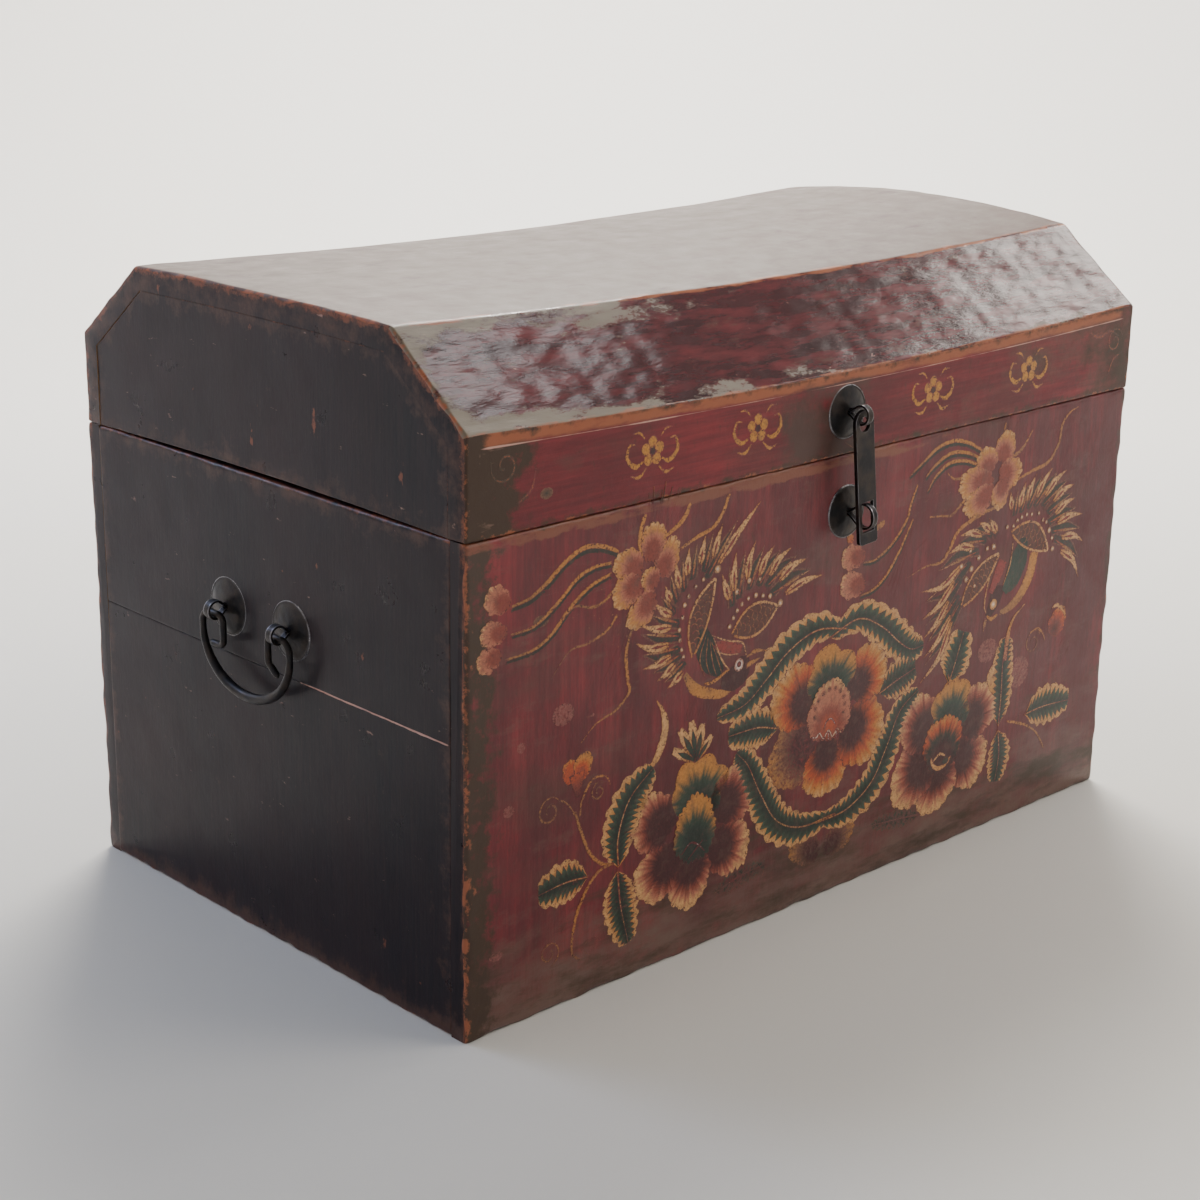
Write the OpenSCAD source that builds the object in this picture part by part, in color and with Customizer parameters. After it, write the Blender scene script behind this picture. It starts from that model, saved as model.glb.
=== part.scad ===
// Old painted trunk: a board-built chest with a sloped lid, an iron hasp and two bail handles.
// X runs along the length, Y towards the back and Z up. The origin is the centre of the base, on the floor.

/* [Body] */
// Length of the trunk, left to right
trunk_l = 760; // [640:5:900]
// Depth of the trunk, front to back
trunk_d = 465; // [400:5:560]
// Height of the body without the lid
body_h = 369; // [340:1:440]
// Thickness of the front and back boards
board_t = 20; // [17:0.5:26]
// Thickness of the end planks
end_t = 18; // [15:0.5:24]
// Depth of the rebates in the long boards that take the end planks
end_rebate = 4; // [2:0.5:8]
// Height of the joint between an end's two planks
plank_joint_z = 222.5; // [190:0.5:230]
// Width and height of the tongue in that joint
tongue = 6; // [4:0.5:8]
// Thickness of the bottom planks
bottom_t = 14; // [10:0.5:20]
// Width of the rebate under the walls that takes the bottom
bottom_rebate = 10; // [7:0.5:12]
// Open joint between two bottom planks
plank_gap = 0.6; // [0.2:0.1:0.9]
// Rounding of the body's outer edges
edge_r = 3; // [1:0.5:5]

/* [Pegs and nails] */
// Radius of the bamboo pegs at the body's corners
peg_r = 3; // [2:0.25:4]
// Length of the corner pegs
peg_l = 55; // [40:1:70]
// Distance from a plank's edge to the nearest peg
peg_margin = 38; // [25:1:45]
// Radius of the pegs that hold the lid's boards to its gables
lid_peg_r = 2.5; // [1.5:0.25:3.5]
// Length of the lid's pegs
lid_peg_l = 42; // [35:1:50]
// Radius of the bottom nails
nail_r = 1.75; // [1.25:0.25:2.5]
// Radius of a bottom nail's head
nail_head_r = 4; // [3:0.25:5]
// Thickness of a bottom nail's head
nail_head_t = 1.2; // [0.8:0.1:2]
// Length of the bottom nails
nail_l = 36; // [26:1:48]
// Nails along each long edge of the bottom
nail_count = 5; // [3:1:8]

/* [Lid] */
// Gap between the body and the closed lid
lid_gap = 0.4; // [0.3:0.1:0.8]
// Height of the lid's upright front and back rails
rail_h = 72.5; // [66:0.5:90]
// Rise of the lid's sloped boards
slope_rise = 62; // [50:1:80]
// Run of the lid's sloped boards, front to back
slope_run = 78; // [60:1:100]
// Thickness of the lid's long boards
lid_t = 18; // [14:0.5:22]
// Thickness of the lid's gables
gable_t = 18; // [14:0.5:24]
// How far the old lid has sunk at the middle of its length
lid_sag = 7.5; // [0:0.5:10]
// Rise of the top across the left gable
left_crown = 2; // [0:0.5:12]
// Rise of the top across the right gable
right_crown = 10; // [0:0.5:14]
// Hollow along the lower edge of each gable
gable_relief = 3; // [0.5:0.5:5]
// Rounding where the top meets the slopes
top_edge_r = 9; // [4:0.5:14]
// Rounding where the slopes meet the rails
rail_edge_r = 4; // [2:0.5:8]
// Rounding of the lid's lower edges
lid_edge_r = 2; // [1:0.25:4]

/* [Split pins] */
// Thickness of the flat iron that the pins are bent from
band_t = 2; // [1.5:0.1:2.5]
// Width of a pin's legs
leg_w = 5; // [4:0.25:6]
// Length of each clinched tail inside the trunk
tail_l = 14; // [9:0.5:18]
// Gap between the two legs
leg_split = 0.3; // [0.2:0.05:0.5]
// Height of the domed iron discs
disc_h = 4; // [2.5:0.25:6]
// Thickness of the discs' sheet iron
disc_t = 1.2; // [0.8:0.1:2]

/* [Hasp] */
// Place of the hasp's eye along the length, from the middle
hasp_x = 3; // [-40:1:40]
// How far the staple stands to the right of that eye
staple_shift = 5; // [-8:0.5:8]
// Height of the hasp's eye above the lid's lower edge
hasp_eye_up = 34; // [30:0.5:42]
// Depth of the staple's eye below the body's upper edge
staple_down = 45.5; // [36:0.5:56]
// Distance from the front boards to the centre of the hasp's eye
hasp_off = 16; // [14:0.5:20]
// Distance from the front boards to the centre of the staple's eye
staple_off = 19.5; // [18:0.5:24]
// Inner radius of the eye that carries the strap
hasp_eye_r = 6.2; // [5.4:0.1:7.2]
// Width of that eye's band
hasp_band_w = 6; // [4:0.25:7]
// Inner radius of the staple's eye
staple_eye_r = 8.5; // [7.5:0.1:9.8]
// Width of the staple's band
staple_band_w = 5.5; // [4:0.25:6.5]
// Diameter of the two discs on the front
hasp_disc_d = 43; // [36:1:52]
// Width of the strap
strap_w = 21; // [18:0.5:26]
// Thickness of the strap
strap_t = 3.5; // [2:0.1:4]
// Height of the strap above the centre of its eye
strap_tab = 4; // [3:0.1:4.6]
// How much further out the strap stands at the staple than at its eye
strap_out = 4.5; // [0:0.5:6]
// Width of the strap's slot
slot_w = 13.5; // [10:0.25:15.5]
// Room in the slot above and below the staple
slot_room = 1.5; // [0.8:0.1:3]
// Metal left below the slot
strap_end = 9.5; // [4:0.5:12]
// Rounding of the strap's lower corners
strap_corner_r = 3; // [1:0.5:5]

/* [Bail handles] */
// Height of the handles' eyes above the floor
bail_z = 260; // [258:1:285]
// Place of the handles from the middle of the depth
bail_y = 4; // [-30:1:30]
// Distance between a handle's two eyes
bail_span = 79; // [70:1:110]
// Distance from the end planks to the centres of the eyes
bail_off = 13.5; // [13.5:0.5:20]
// Inner radius of the handles' eyes
bail_eye_r = 5.8; // [5:0.1:6.7]
// Width of the eyes' band
bail_band_w = 7; // [5:0.25:8]
// Diameter of the discs under the eyes
bail_disc_d = 47; // [40:1:56]
// Drop of the handle from its pivot to the middle of its grip
bail_drop = 56; // [45:1:65]
// Radius of the handle's rod at the middle of the grip
bail_r = 4; // [3.2:0.1:5]
// Radius of the rod at the hooked ends
hook_r = 2.6; // [2:0.1:3]
// Distance from an eye out to the handle's arm
hook_out = 15.5; // [13:0.5:18]
// Distance from an eye in to the hook's return
hook_in = 11; // [9:0.5:14]
// Length of the hook's bent tip
hook_tip = 12; // [6:0.5:13]
// Degrees that the front hook's tip turns back towards the arm
front_tip_turn = 55; // [30:5:90]
// Degrees that the rear hook's tip turns back towards the arm
rear_tip_turn = 90; // [30:5:90]

/* [Hinges] */
// Distance of each hinge from the nearer end of the trunk
hinge_inset = 140; // [90:5:220]
// Distance from the back boards to the hinge axis
hinge_off = 12; // [11:0.5:15]
// Radius of the hinge staples' wire
hinge_r = 2.25; // [1.75:0.05:2.5]
// Spread of a hinge staple's two legs
hinge_spread = 15; // [14:0.5:20]
// Radius of the hinge ring, at the middle of its wire
ring_r = 7.5; // [7:0.1:8.5]
// Radius of the hinge ring's shank
shank_r = 3; // [2.5:0.1:3.25]

/* [Hidden] */
$fn = 48;

// Clearances and small allowances
fit = 0.05;          // round a peg, nail or shank in its bore
leg_room = 0.1;      // round a pin's flat legs in a board
joint_room = 0.15;   // round the tongue between two planks
pivot_room = 0.3;    // between an eye and the rod that hangs in it
disc_room = 0.4;     // round a pin's legs in the hole of its disc
neck_room = 0.5;     // between a disc's crown and the neck of its pin
past = 1;            // how far a cut runs past a face
peg_sink = 0.3;      // depth of a peg's end below the face

// Colours
front_red = [0.36, 0.11, 0.10];
side_black = [0.20, 0.18, 0.18];
top_brown = [0.42, 0.37, 0.34];
bare_wood = [0.55, 0.40, 0.26];
bamboo = [0.72, 0.60, 0.38];
iron = [0.16, 0.16, 0.17];

// Body, derived
half_l = trunk_l / 2;
half_d = trunk_d / 2;
end_y = half_d - board_t + end_rebate;         // half length of an end plank
bottom_x = half_l - end_t + bottom_rebate;     // half length of the bottom
bottom_y = half_d - board_t + bottom_rebate;   // half width of the bottom
plank_w = (2 * bottom_y - 2 * plank_gap) / 3;
peg_zs = [bottom_t + peg_margin, plank_joint_z - peg_margin,
          plank_joint_z + peg_margin, body_h - peg_margin];

// Lid section in Y and Z, from the rail's foot to the top's edge, outside and inside
lid_z = body_h + lid_gap;
rail_foot = [-half_d, lid_z];
rail_top = [-half_d, lid_z + rail_h];
slope_top = [-half_d + slope_run, lid_z + rail_h + slope_rise];
over_top = [0, slope_top.y];
inner_foot = [rail_foot.x + lid_t, lid_z];
inner_rail_top = inner_corner(rail_foot, rail_top, slope_top, lid_t);
inner_slope_top = inner_corner(rail_top, slope_top, over_top, lid_t);
rail_arc = corner_arc(rail_foot, rail_top, slope_top, rail_edge_r);
top_arc = corner_arc(rail_top, slope_top, over_top, top_edge_r);
foot_arc = corner_arc(inner_foot, rail_foot, rail_top, lid_edge_r);
arc_mid = 3;                                   // index of an arc's middle point
crown_steps = 4;                               // steps of the crown from an edge to the middle
lid_steps = 12;                                // steps of the sag along the lid
held_x = half_l - gable_t;                     // the boards lie straight beyond this place
side_peg_shares = [0.3, 0.7];                  // places of the pegs up a rail and up a slope
top_peg_shares = [0.25, 0.7];                  // places of the pegs from the middle of the top out

// Hasp and handles, derived
eye_z = lid_z + hasp_eye_up;
staple_z = body_h - staple_down;
strap_fall = eye_z - staple_z;
strap_run = norm([strap_fall, staple_shift, strap_out]);   // from the strap's eye to its slot's middle
strap_lean = asin(strap_out / strap_run);
strap_tilt = atan(staple_shift / strap_fall);
slot_half = staple_eye_r + band_t + slot_room; // half length of the slot
strap_low = -strap_run - slot_half - strap_end;
strap_cheek = 4.5;                             // metal on each side of the strap's hole
strap_hole_r = strap_w / 2 - strap_cheek;
strap_hole_z = -hasp_eye_r - band_t / 2;
neck_z = disc_h + neck_room;                   // where a pin's band opens into its eye
disc_hole_r = norm([leg_w / 2, band_t]) + disc_room;
pivot_drop = bail_eye_r - hook_r - pivot_room;
pivot_z = bail_z - pivot_drop;
arm_y = bail_span / 2 + hook_out;
return_y = bail_span / 2 - hook_in;
arm_bend_r = 9.5;                              // bend between a handle's arm and its pivot
arm_straight = 4;                              // straight of the arm below that bend
return_bend_r = 6;                             // bend between the pivot and the hook's return
return_l = 13;                                 // length of the return
tip_bend_r = 5;                                // bend between the return and the tip
bow_top = arm_bend_r + arm_straight;
bow_steps = 32;
bow_sides = 16;
bow_thin_r = hook_r - 0.1;                     // radius of the grip where it enters the arms

// Hinges, derived
hinge_y = half_d + hinge_off;
hinge_z = body_h + lid_gap / 2;
hinge_slant = 45;                              // slope of the hinges' legs through the boards
ring_shift = ring_r - 2 * hinge_r - pivot_room;
clinch_l = 12;                                 // length of a hinge leg's tail behind its board
corner_r = 3.5;                                // bend between a hinge staple's bar and its legs
bend_swell = 0.04;                             // how much fuller a bend is than the straight wire
bend_lap = 0.3;                                // how far a straight runs on into a bend

// Unit vector along v
function unit(v) = v / norm(v);

// Vector v turned by a degrees
function turned(v, a) = [v.x * cos(a) - v.y * sin(a), v.x * sin(a) + v.y * cos(a)];

// Inner corner of a board of thickness t that follows the outline a, p, b
function inner_corner(a, p, b, t) =
    let (n1 = turned(unit(p - a), -90), n2 = turned(unit(b - p), -90))
    p + t * (n1 + n2) / (1 + n1 * n2);

// Seven points of the arc of radius r that rounds the corner a, p, b
function corner_arc(a, p, b, r) =
    let (u = unit(a - p), v = unit(b - p), half = acos(u * v) / 2,
         c = p + unit(u + v) * r / sin(half), start = u * r / tan(half) + p - c,
         full = 180 - 2 * half, way = u.x * v.y - u.y * v.x > 0 ? -1 : 1)
    [for (i = [0:6]) c + turned(start, way * full * i / 6)];

// Sag of the lid at x, and the rise of its crown there
function sag_at(x) = lid_sag * max(0, 1 - pow(x / held_x, 2));
function crown_at(x) =
    (left_crown + right_crown) / 2
    + (right_crown - left_crown) / 2 * max(-1, min(1, x / held_x));

// A section point: y, z, its share of the sag and its share of the crown
function fixed(p) = [p.x, p.y, 0, 0];
function sunk(p) = [p.x, p.y, 1, 0];
function crowned(y, z, half) = [y, z, 1, 1 - pow(y / half, 2)];
function mirrored(points) = [for (i = [len(points) - 1:-1:0])
    [-points[i][0], points[i][1], points[i][2], points[i][3]]];
function placed(p, x) = [x, p[0], p[1] - p[2] * sag_at(x) + p[3] * crown_at(x)];

// Closed sections of the lid's boards
function rail_section() = concat(
    [for (p = foot_arc) fixed(p)],
    [for (i = [0:arc_mid]) sunk(rail_arc[i])],
    [sunk(inner_rail_top), fixed(inner_foot)]);
function slope_section() = concat(
    [for (i = [arc_mid:6]) sunk(rail_arc[i])],
    [for (i = [0:arc_mid]) sunk(top_arc[i])],
    [sunk(inner_slope_top), sunk(inner_rail_top)]);
function top_outside() = concat(
    [for (i = [arc_mid:6]) sunk(top_arc[i])],
    [for (i = [1:crown_steps])
        crowned(top_arc[6].x * (1 - i / crown_steps), over_top.y, top_arc[6].x)]);
function top_inside() = concat(
    [sunk(inner_slope_top)],
    [for (i = [1:crown_steps])
        crowned(inner_slope_top.x * (1 - i / crown_steps), inner_slope_top.y, inner_slope_top.x)]);
function whole_row(half_row) =
    concat(half_row, mirrored([for (i = [0:len(half_row) - 2]) half_row[i]]));
function top_section() =
    let (under = whole_row(top_inside()))
    concat(whole_row(top_outside()), [for (i = [len(under) - 1:-1:0]) under[i]]);

// Places along the lid where its boards' sections stand
lid_xs = concat([-half_l], [for (i = [0:lid_steps]) held_x * (2 * i / lid_steps - 1)], [half_l]);

// A long board of the lid, swept along its section
module lid_board(section) {
    n = len(section);
    rows = len(lid_xs);
    polyhedron(
        points = [for (x = lid_xs) for (p = section) placed(p, x)],
        faces = concat(
            [[for (j = [0:n - 1]) j]],
            [[for (j = [n - 1:-1:0]) (rows - 1) * n + j]],
            [for (i = [0:rows - 2]) for (j = [0:n - 1])
                [i * n + j, (i + 1) * n + j, (i + 1) * n + (j + 1) % n]],
            [for (i = [0:rows - 2]) for (j = [0:n - 1])
                [i * n + j, (i + 1) * n + (j + 1) % n, i * n + (j + 1) % n]]));
}

// Rectangle w by h whose two corners at x = 0 are rounded
module eased_rect(w, h, r) {
    translate([r, 0]) square([w - r, h]);
    translate([0, r]) square([w, h - 2 * r]);
    translate([r, r]) circle(r);
    translate([r, h - r]) circle(r);
}

// Rectangle w by h whose corner at the origin is rounded
module eased_corner(w, h, r) {
    translate([r, 0]) square([w - r, h]);
    translate([0, r]) square([w, h - r]);
    translate([r, r]) circle(r);
}

// Turns a drawing in X and Y so that it stands in Y and Z, its depth along X
module upright() rotate([90, 0, 90]) children();

// Repeats the children at each end of a row: as drawn, and mirrored in X
module both_ends() { children(); mirror([1, 0, 0]) children(); }
module both_sides() { children(); mirror([0, 1, 0]) children(); }

// Places of the corner pegs that enter planks between two heights, at the left front corner
module at_pegs() {
    for (z = peg_zs) translate([-half_l + end_t / 2, -half_d, z]) rotate([-90, 0, 0]) children();
}
module peg_bores() both_ends() both_sides() at_pegs() cylinder(r = peg_r + fit, h = peg_l);

// Places of the bottom nails
module at_nails() {
    nail_x = half_l - end_t + bottom_rebate / 2;
    nail_y = half_d - board_t + bottom_rebate / 2;
    for (sx = [-1, 1], row = [-1, 0, 1], s = [-1, 1])
        translate([sx * nail_x, row * (plank_w + plank_gap) + s * plank_w / 4, 0]) children();
    for (sy = [-1, 1], i = [0:nail_count - 1])
        translate([nail_x * (2 * (i + 1) / (nail_count + 1) - 1), sy * nail_y, 0]) children();
}
module nail_bores() at_nails() {
    cylinder(r = nail_r + fit, h = nail_l);
    translate([0, 0, -past]) cylinder(r = nail_head_r + fit, h = nail_head_t + past);
}

// Front board, with its rebates for the ends and the bottom
module long_board() {
    difference() {
        intersection() {
            translate([-half_l, -half_d, 0]) upright()
                linear_extrude(trunk_l) eased_rect(board_t, body_h, edge_r);
            translate([-half_l, -half_d, 0])
                linear_extrude(body_h) mirror([1, -1]) eased_rect(board_t, trunk_l, edge_r);
        }
        both_ends() translate([-half_l - past, -end_y, -past])
            cube([end_t + past, board_t, body_h + 2 * past]);
        translate([-bottom_x, -bottom_y, -past]) cube([2 * bottom_x, board_t, bottom_t + past]);
        peg_bores();
        nail_bores();
    }
}

// Slit through a board for the two legs of a pin at the origin, pointing along Z
module leg_slit(wall) {
    translate([-leg_w / 2 - leg_room, -band_t - leg_room, -wall - past])
        cube([leg_w + 2 * leg_room, 2 * (band_t + leg_room), wall + 2 * past]);
}

module front_board() color(front_red) difference() {
    long_board();
    at_staple() leg_slit(board_t);
}

module back_board() color(side_black) difference() {
    mirror([0, 1, 0]) long_board();
    at_hinges() hinge_staple_bores();
}

// Plank of the left end, its lower outer edge rounded, or its upper one where top is true
module end_plank(low, high, top) {
    translate([-half_l, end_y, top ? high : low]) rotate([90, 0, 0]) linear_extrude(2 * end_y)
        mirror([0, top ? 1 : 0]) eased_corner(end_t, high - low, edge_r);
}

// Tongue along the middle of the end's thickness, grown by a clearance
module end_tongue(room) {
    translate([-half_l + end_t / 2 - tongue / 2 - room, -end_y, plank_joint_z - past])
        cube([tongue + 2 * room, 2 * end_y, tongue + past + room]);
}

module lower_plank() difference() {
    union() {
        end_plank(0, plank_joint_z, false);
        end_tongue(0);
    }
    translate([-bottom_x, -half_d, -past]) cube([end_t, trunk_d, bottom_t + past]);
    peg_bores();
    nail_bores();
}

module upper_plank() difference() {
    end_plank(plank_joint_z, body_h, true);
    end_tongue(joint_room);
    peg_bores();
    at_bail_eyes() leg_slit(end_t);
}

module left_lower_plank() color(side_black) lower_plank();
module left_upper_plank() color(side_black) upper_plank();
module right_lower_plank() color(side_black) mirror([1, 0, 0]) lower_plank();
module right_upper_plank() color(side_black) mirror([1, 0, 0]) upper_plank();

// Bottom plank in row -1, 0 or 1, front to back
module bottom_plank(row) color(bare_wood) difference() {
    translate([-bottom_x, row * (plank_w + plank_gap) - plank_w / 2, 0])
        cube([2 * bottom_x, plank_w, bottom_t]);
    nail_bores();
}
module bottom_plank_front() bottom_plank(-1);
module bottom_plank_middle() bottom_plank(0);
module bottom_plank_back() bottom_plank(1);

module corner_pegs() color(bamboo) both_ends() both_sides() at_pegs()
    translate([0, 0, peg_sink]) cylinder(r = peg_r, h = peg_l - peg_sink);

module bottom_nails() color(iron) at_nails() {
    translate([0, 0, peg_sink]) cylinder(r = nail_head_r, h = nail_head_t - peg_sink);
    translate([0, 0, peg_sink]) cylinder(r = nail_r, h = nail_l - peg_sink);
}

// Places of the lid's pegs at both gables: on the rails, the slopes and the top, Z into the wood
module at_lid_pegs() {
    slope = slope_top - rail_top;
    slant = atan2(slope.y, slope.x);
    for (end = [-1, 1]) translate([end * (half_l - gable_t / 2), 0, 0]) {
        both_sides() {
            for (share = side_peg_shares) {
                translate([0, -half_d, lid_z + share * rail_h]) rotate([-90, 0, 0]) children();
                translate([0, rail_top.x + share * slope.x, rail_top.y + share * slope.y])
                    rotate([slant, 0, 0]) mirror([0, 0, 1]) children();
            }
            for (share = top_peg_shares) {
                y = share * slope_top.x;
                crown = crown_at(end * half_l) * (1 - pow(y / top_arc[6].x, 2));
                translate([0, y, slope_top.y + crown]) mirror([0, 0, 1]) children();
            }
        }
    }
}
module lid_peg_bores() at_lid_pegs()
    translate([0, 0, -past]) cylinder(r = lid_peg_r + fit, h = lid_peg_l + past);

module lid_front_rail() color(front_red) difference() {
    lid_board(rail_section());
    lid_peg_bores();
    at_hasp_eye() leg_slit(lid_t);
}

module lid_back_rail() color(side_black) difference() {
    mirror([0, 1, 0]) lid_board(rail_section());
    lid_peg_bores();
    at_hinges() hinge_shank_bore();
}

module lid_front_slope() color(front_red) difference() {
    lid_board(slope_section());
    lid_peg_bores();
}

module lid_back_slope() color(side_black) difference() {
    mirror([0, 1, 0]) lid_board(slope_section());
    lid_peg_bores();
}

module lid_top_board() color(top_brown) difference() {
    lid_board(top_section());
    lid_peg_bores();
}

// Gable between the lid's boards; its outline follows their inner faces at x
module gable(x) {
    relief_steps = 6;
    foot = [for (i = [0:relief_steps]) let (y = inner_foot.x * i / relief_steps)
        [y, lid_z + gable_relief * (1 - pow(i / relief_steps, 2))]];
    roof = [for (p = top_inside()) let (q = placed(p, x)) [q.y, q.z]];
    half = concat(foot, [inner_rail_top], roof);
    outline = concat(half, [for (i = [len(half) - 2:-1:1]) [-half[i].x, half[i].y]]);
    difference() {
        translate([min(x, x - sign(x) * gable_t), 0, 0]) upright()
            linear_extrude(gable_t) polygon(outline);
        lid_peg_bores();
    }
}
module lid_left_gable() color(side_black) gable(-half_l);
module lid_right_gable() color(side_black) gable(half_l);

module lid_pegs() color(bamboo) at_lid_pegs()
    translate([0, 0, peg_sink]) cylinder(r = lid_peg_r, h = lid_peg_l - peg_sink);

// Side view of a split pin's eye: a round loop whose bands run straight to the neck
module eye_outline(eye_r, off) {
    out_r = eye_r + band_t;
    c = [0, off];
    p = [band_t, neck_z];
    way = turned(unit(p - c), acos(out_r / norm(p - c)));
    touch = c + out_r * way;
    spread = atan2(touch.x - p.x, touch.y - p.y);
    inner = c + eye_r * way;
    apex = neck_z + band_t * tan(spread / 2);
    difference() {
        union() {
            translate(c) circle(out_r);
            polygon([p, touch, [-touch.x, touch.y], [-p.x, p.y]]);
        }
        translate(c) circle(eye_r);
        polygon([[0, apex], inner, [-inner.x, inner.y]]);
    }
}

// Split pin: an eye, two legs through the wall and tails clinched behind it.
// It points along Z from a wall whose face is at Z = 0, and its eye's hole runs along X.
module split_pin(eye_r, band_w, off, wall) {
    apex_z = neck_z + band_t;
    difference() {
        union() {
            upright() linear_extrude(band_w, center = true) eye_outline(eye_r, off);
            translate([-leg_w / 2, -band_t, -wall - band_t])
                cube([leg_w, 2 * band_t, wall + band_t + neck_z + band_t / 2]);
            translate([-leg_w / 2, -tail_l, -wall - band_t]) cube([leg_w, 2 * tail_l, band_t]);
        }
        translate([-leg_w, -leg_split / 2, -wall - band_t - past])
            cube([2 * leg_w, leg_split, wall + band_t + past + apex_z]);
    }
}

// Domed disc of thin iron on a wall whose face is at Z = 0
module dome_disc(d) {
    $fn = 96;
    ball_r = (d * d / 4 + disc_h * disc_h) / (2 * disc_h);
    difference() {
        translate([0, 0, disc_h - ball_r]) sphere(ball_r);
        translate([0, 0, disc_h - ball_r]) sphere(ball_r - disc_t);
        translate([0, 0, -2 * ball_r]) cylinder(r = 2 * ball_r, h = 2 * ball_r);
        cylinder(r = disc_hole_r, h = 2 * disc_h);
    }
}

// Places of the hasp's two pins, each with Z out of the board and the eye's hole along X
module at_hasp_eye() translate([hasp_x, -half_d, eye_z]) rotate([90, 0, 0]) children();
module at_staple() translate([hasp_x + staple_shift, -half_d, staple_z])
    rotate([90, 0, 0]) children();

module hasp_eye_disc() color(iron) at_hasp_eye() dome_disc(hasp_disc_d);
module staple_disc() color(iron) at_staple() dome_disc(hasp_disc_d);
module hasp_eye() color(iron) at_hasp_eye() split_pin(hasp_eye_r, hasp_band_w, hasp_off, lid_t);
module hasp_staple() color(iron) at_staple() split_pin(staple_eye_r, staple_band_w, staple_off, board_t);

// Strap with a hole for the hasp's eye, whose centre is at the origin, and a slot over the staple
module strap_outline() {
    bend = strap_w / 2;
    difference() {
        union() {
            translate([0, strap_tab - bend]) circle(bend);
            translate([-bend, strap_low + strap_corner_r])
                square([strap_w, strap_tab - bend - strap_low - strap_corner_r]);
            translate([-bend + strap_corner_r, strap_low])
                square([strap_w - 2 * strap_corner_r, 2 * strap_corner_r]);
            for (s = [-1, 1]) translate([s * (bend - strap_corner_r), strap_low + strap_corner_r])
                circle(strap_corner_r);
        }
        translate([0, strap_hole_z]) circle(strap_hole_r);
        translate([-slot_w / 2, -strap_run - slot_half]) square([slot_w, 2 * slot_half]);
    }
}
// It hangs askew and leans out, from its eye to the staple
module hasp_strap() color(iron) translate([hasp_x, -half_d - hasp_off, eye_z])
    rotate([-strap_lean, -strap_tilt, 0]) translate([0, strap_t / 2, 0])
        rotate([90, 0, 0]) linear_extrude(strap_t) strap_outline();

// Places of the left handle's eyes: the front one, the rear one or both
module at_bail_eye(side) translate([-half_l, bail_y + side * bail_span / 2, bail_z])
    rotate([0, -90, 0]) rotate([0, 0, 90]) children();
module at_bail_eyes() for (side = [-1, 1]) at_bail_eye(side) children();

module bail_disc(side) color(iron) at_bail_eye(side) dome_disc(bail_disc_d);
module bail_eye(side) color(iron) at_bail_eye(side) split_pin(bail_eye_r, bail_band_w, bail_off, end_t);
module left_front_disc() bail_disc(-1);
module left_rear_disc() bail_disc(1);
module left_front_eye() bail_eye(-1);
module left_rear_eye() bail_eye(1);
module right_front_disc() mirror([1, 0, 0]) bail_disc(-1);
module right_rear_disc() mirror([1, 0, 0]) bail_disc(1);
module right_front_eye() mirror([1, 0, 0]) bail_eye(-1);
module right_rear_eye() mirror([1, 0, 0]) bail_eye(1);

// Straight of a hook from p to q in X and Y, run on into the bends at its ends that are named
module hook_rod(p, q, lap_p, lap_q) translate([p.x, p.y, 0])
    rotate([0, 0, atan2(q.y - p.y, q.x - p.x)]) translate([lap_p ? -bend_lap : 0, 0, 0])
        rotate([0, 90, 0])
            cylinder(r = hook_r, h = norm(q - p) + (lap_p ? bend_lap : 0) + (lap_q ? bend_lap : 0));

// Bend of a hook round c in X and Y, from angle a to b, a little fuller than the straights
module hook_bend(c, bend, a, b) translate([c.x, c.y, 0]) rotate([0, 0, a])
    rotate_extrude(angle = b - a) translate([bend, 0]) circle(hook_r + bend_swell);

// Hooked end of a handle, on the side of positive X, pivot at Y = 0
module hook(tip_turn) {
    return_x = return_y + return_bend_r;
    return_low = -return_bend_r - return_l;
    tip_c = [return_y + tip_bend_r, return_low];
    tip_from = tip_c + tip_bend_r * [cos(180 + tip_turn), sin(180 + tip_turn)];
    tip_way = [sin(tip_turn), -cos(tip_turn)];
    hook_rod([arm_y, -bow_top], [arm_y, -arm_bend_r], false, true);
    hook_bend([arm_y - arm_bend_r, -arm_bend_r], arm_bend_r, 0, 90);
    hook_rod([return_x, 0], [arm_y - arm_bend_r, 0], true, true);
    hook_bend([return_x, -return_bend_r], return_bend_r, 90, 180);
    hook_rod([return_y, return_low], [return_y, -return_bend_r], true, true);
    hook_bend(tip_c, tip_bend_r, 180, 180 + tip_turn);
    hook_rod(tip_from, tip_from + hook_tip * tip_way, true, false);
}

// Grip of a handle: half an ellipse of rod, thickest in the middle, its ends sunk in the hooks' arms
function bow_angle(i) = -90 + 180 * i / bow_steps;
function bow_centre(i) = i < 0 ? [-arm_y, -bow_top + arm_straight / 2]
    : i > bow_steps ? [arm_y, -bow_top + arm_straight / 2]
    : [arm_y * sin(bow_angle(i)), -bow_top - (bail_drop - bow_top) * cos(bow_angle(i))];
function bow_way(i) =
    let (a = bow_angle(max(0, min(bow_steps, i))))
    unit([arm_y * cos(a), (bail_drop - bow_top) * sin(a)]);
function bow_r(i) =
    bow_thin_r + (bail_r - bow_thin_r) * cos(bow_angle(max(0, min(bow_steps, i))));
function bow_ring(i) =
    let (c = bow_centre(i), n = turned(bow_way(i), 90), r = bow_r(i))
    [for (j = [0:bow_sides - 1]) let (a = 360 * j / bow_sides)
        [c.x + r * cos(a) * n.x, c.y + r * cos(a) * n.y, r * sin(a)]];
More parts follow.
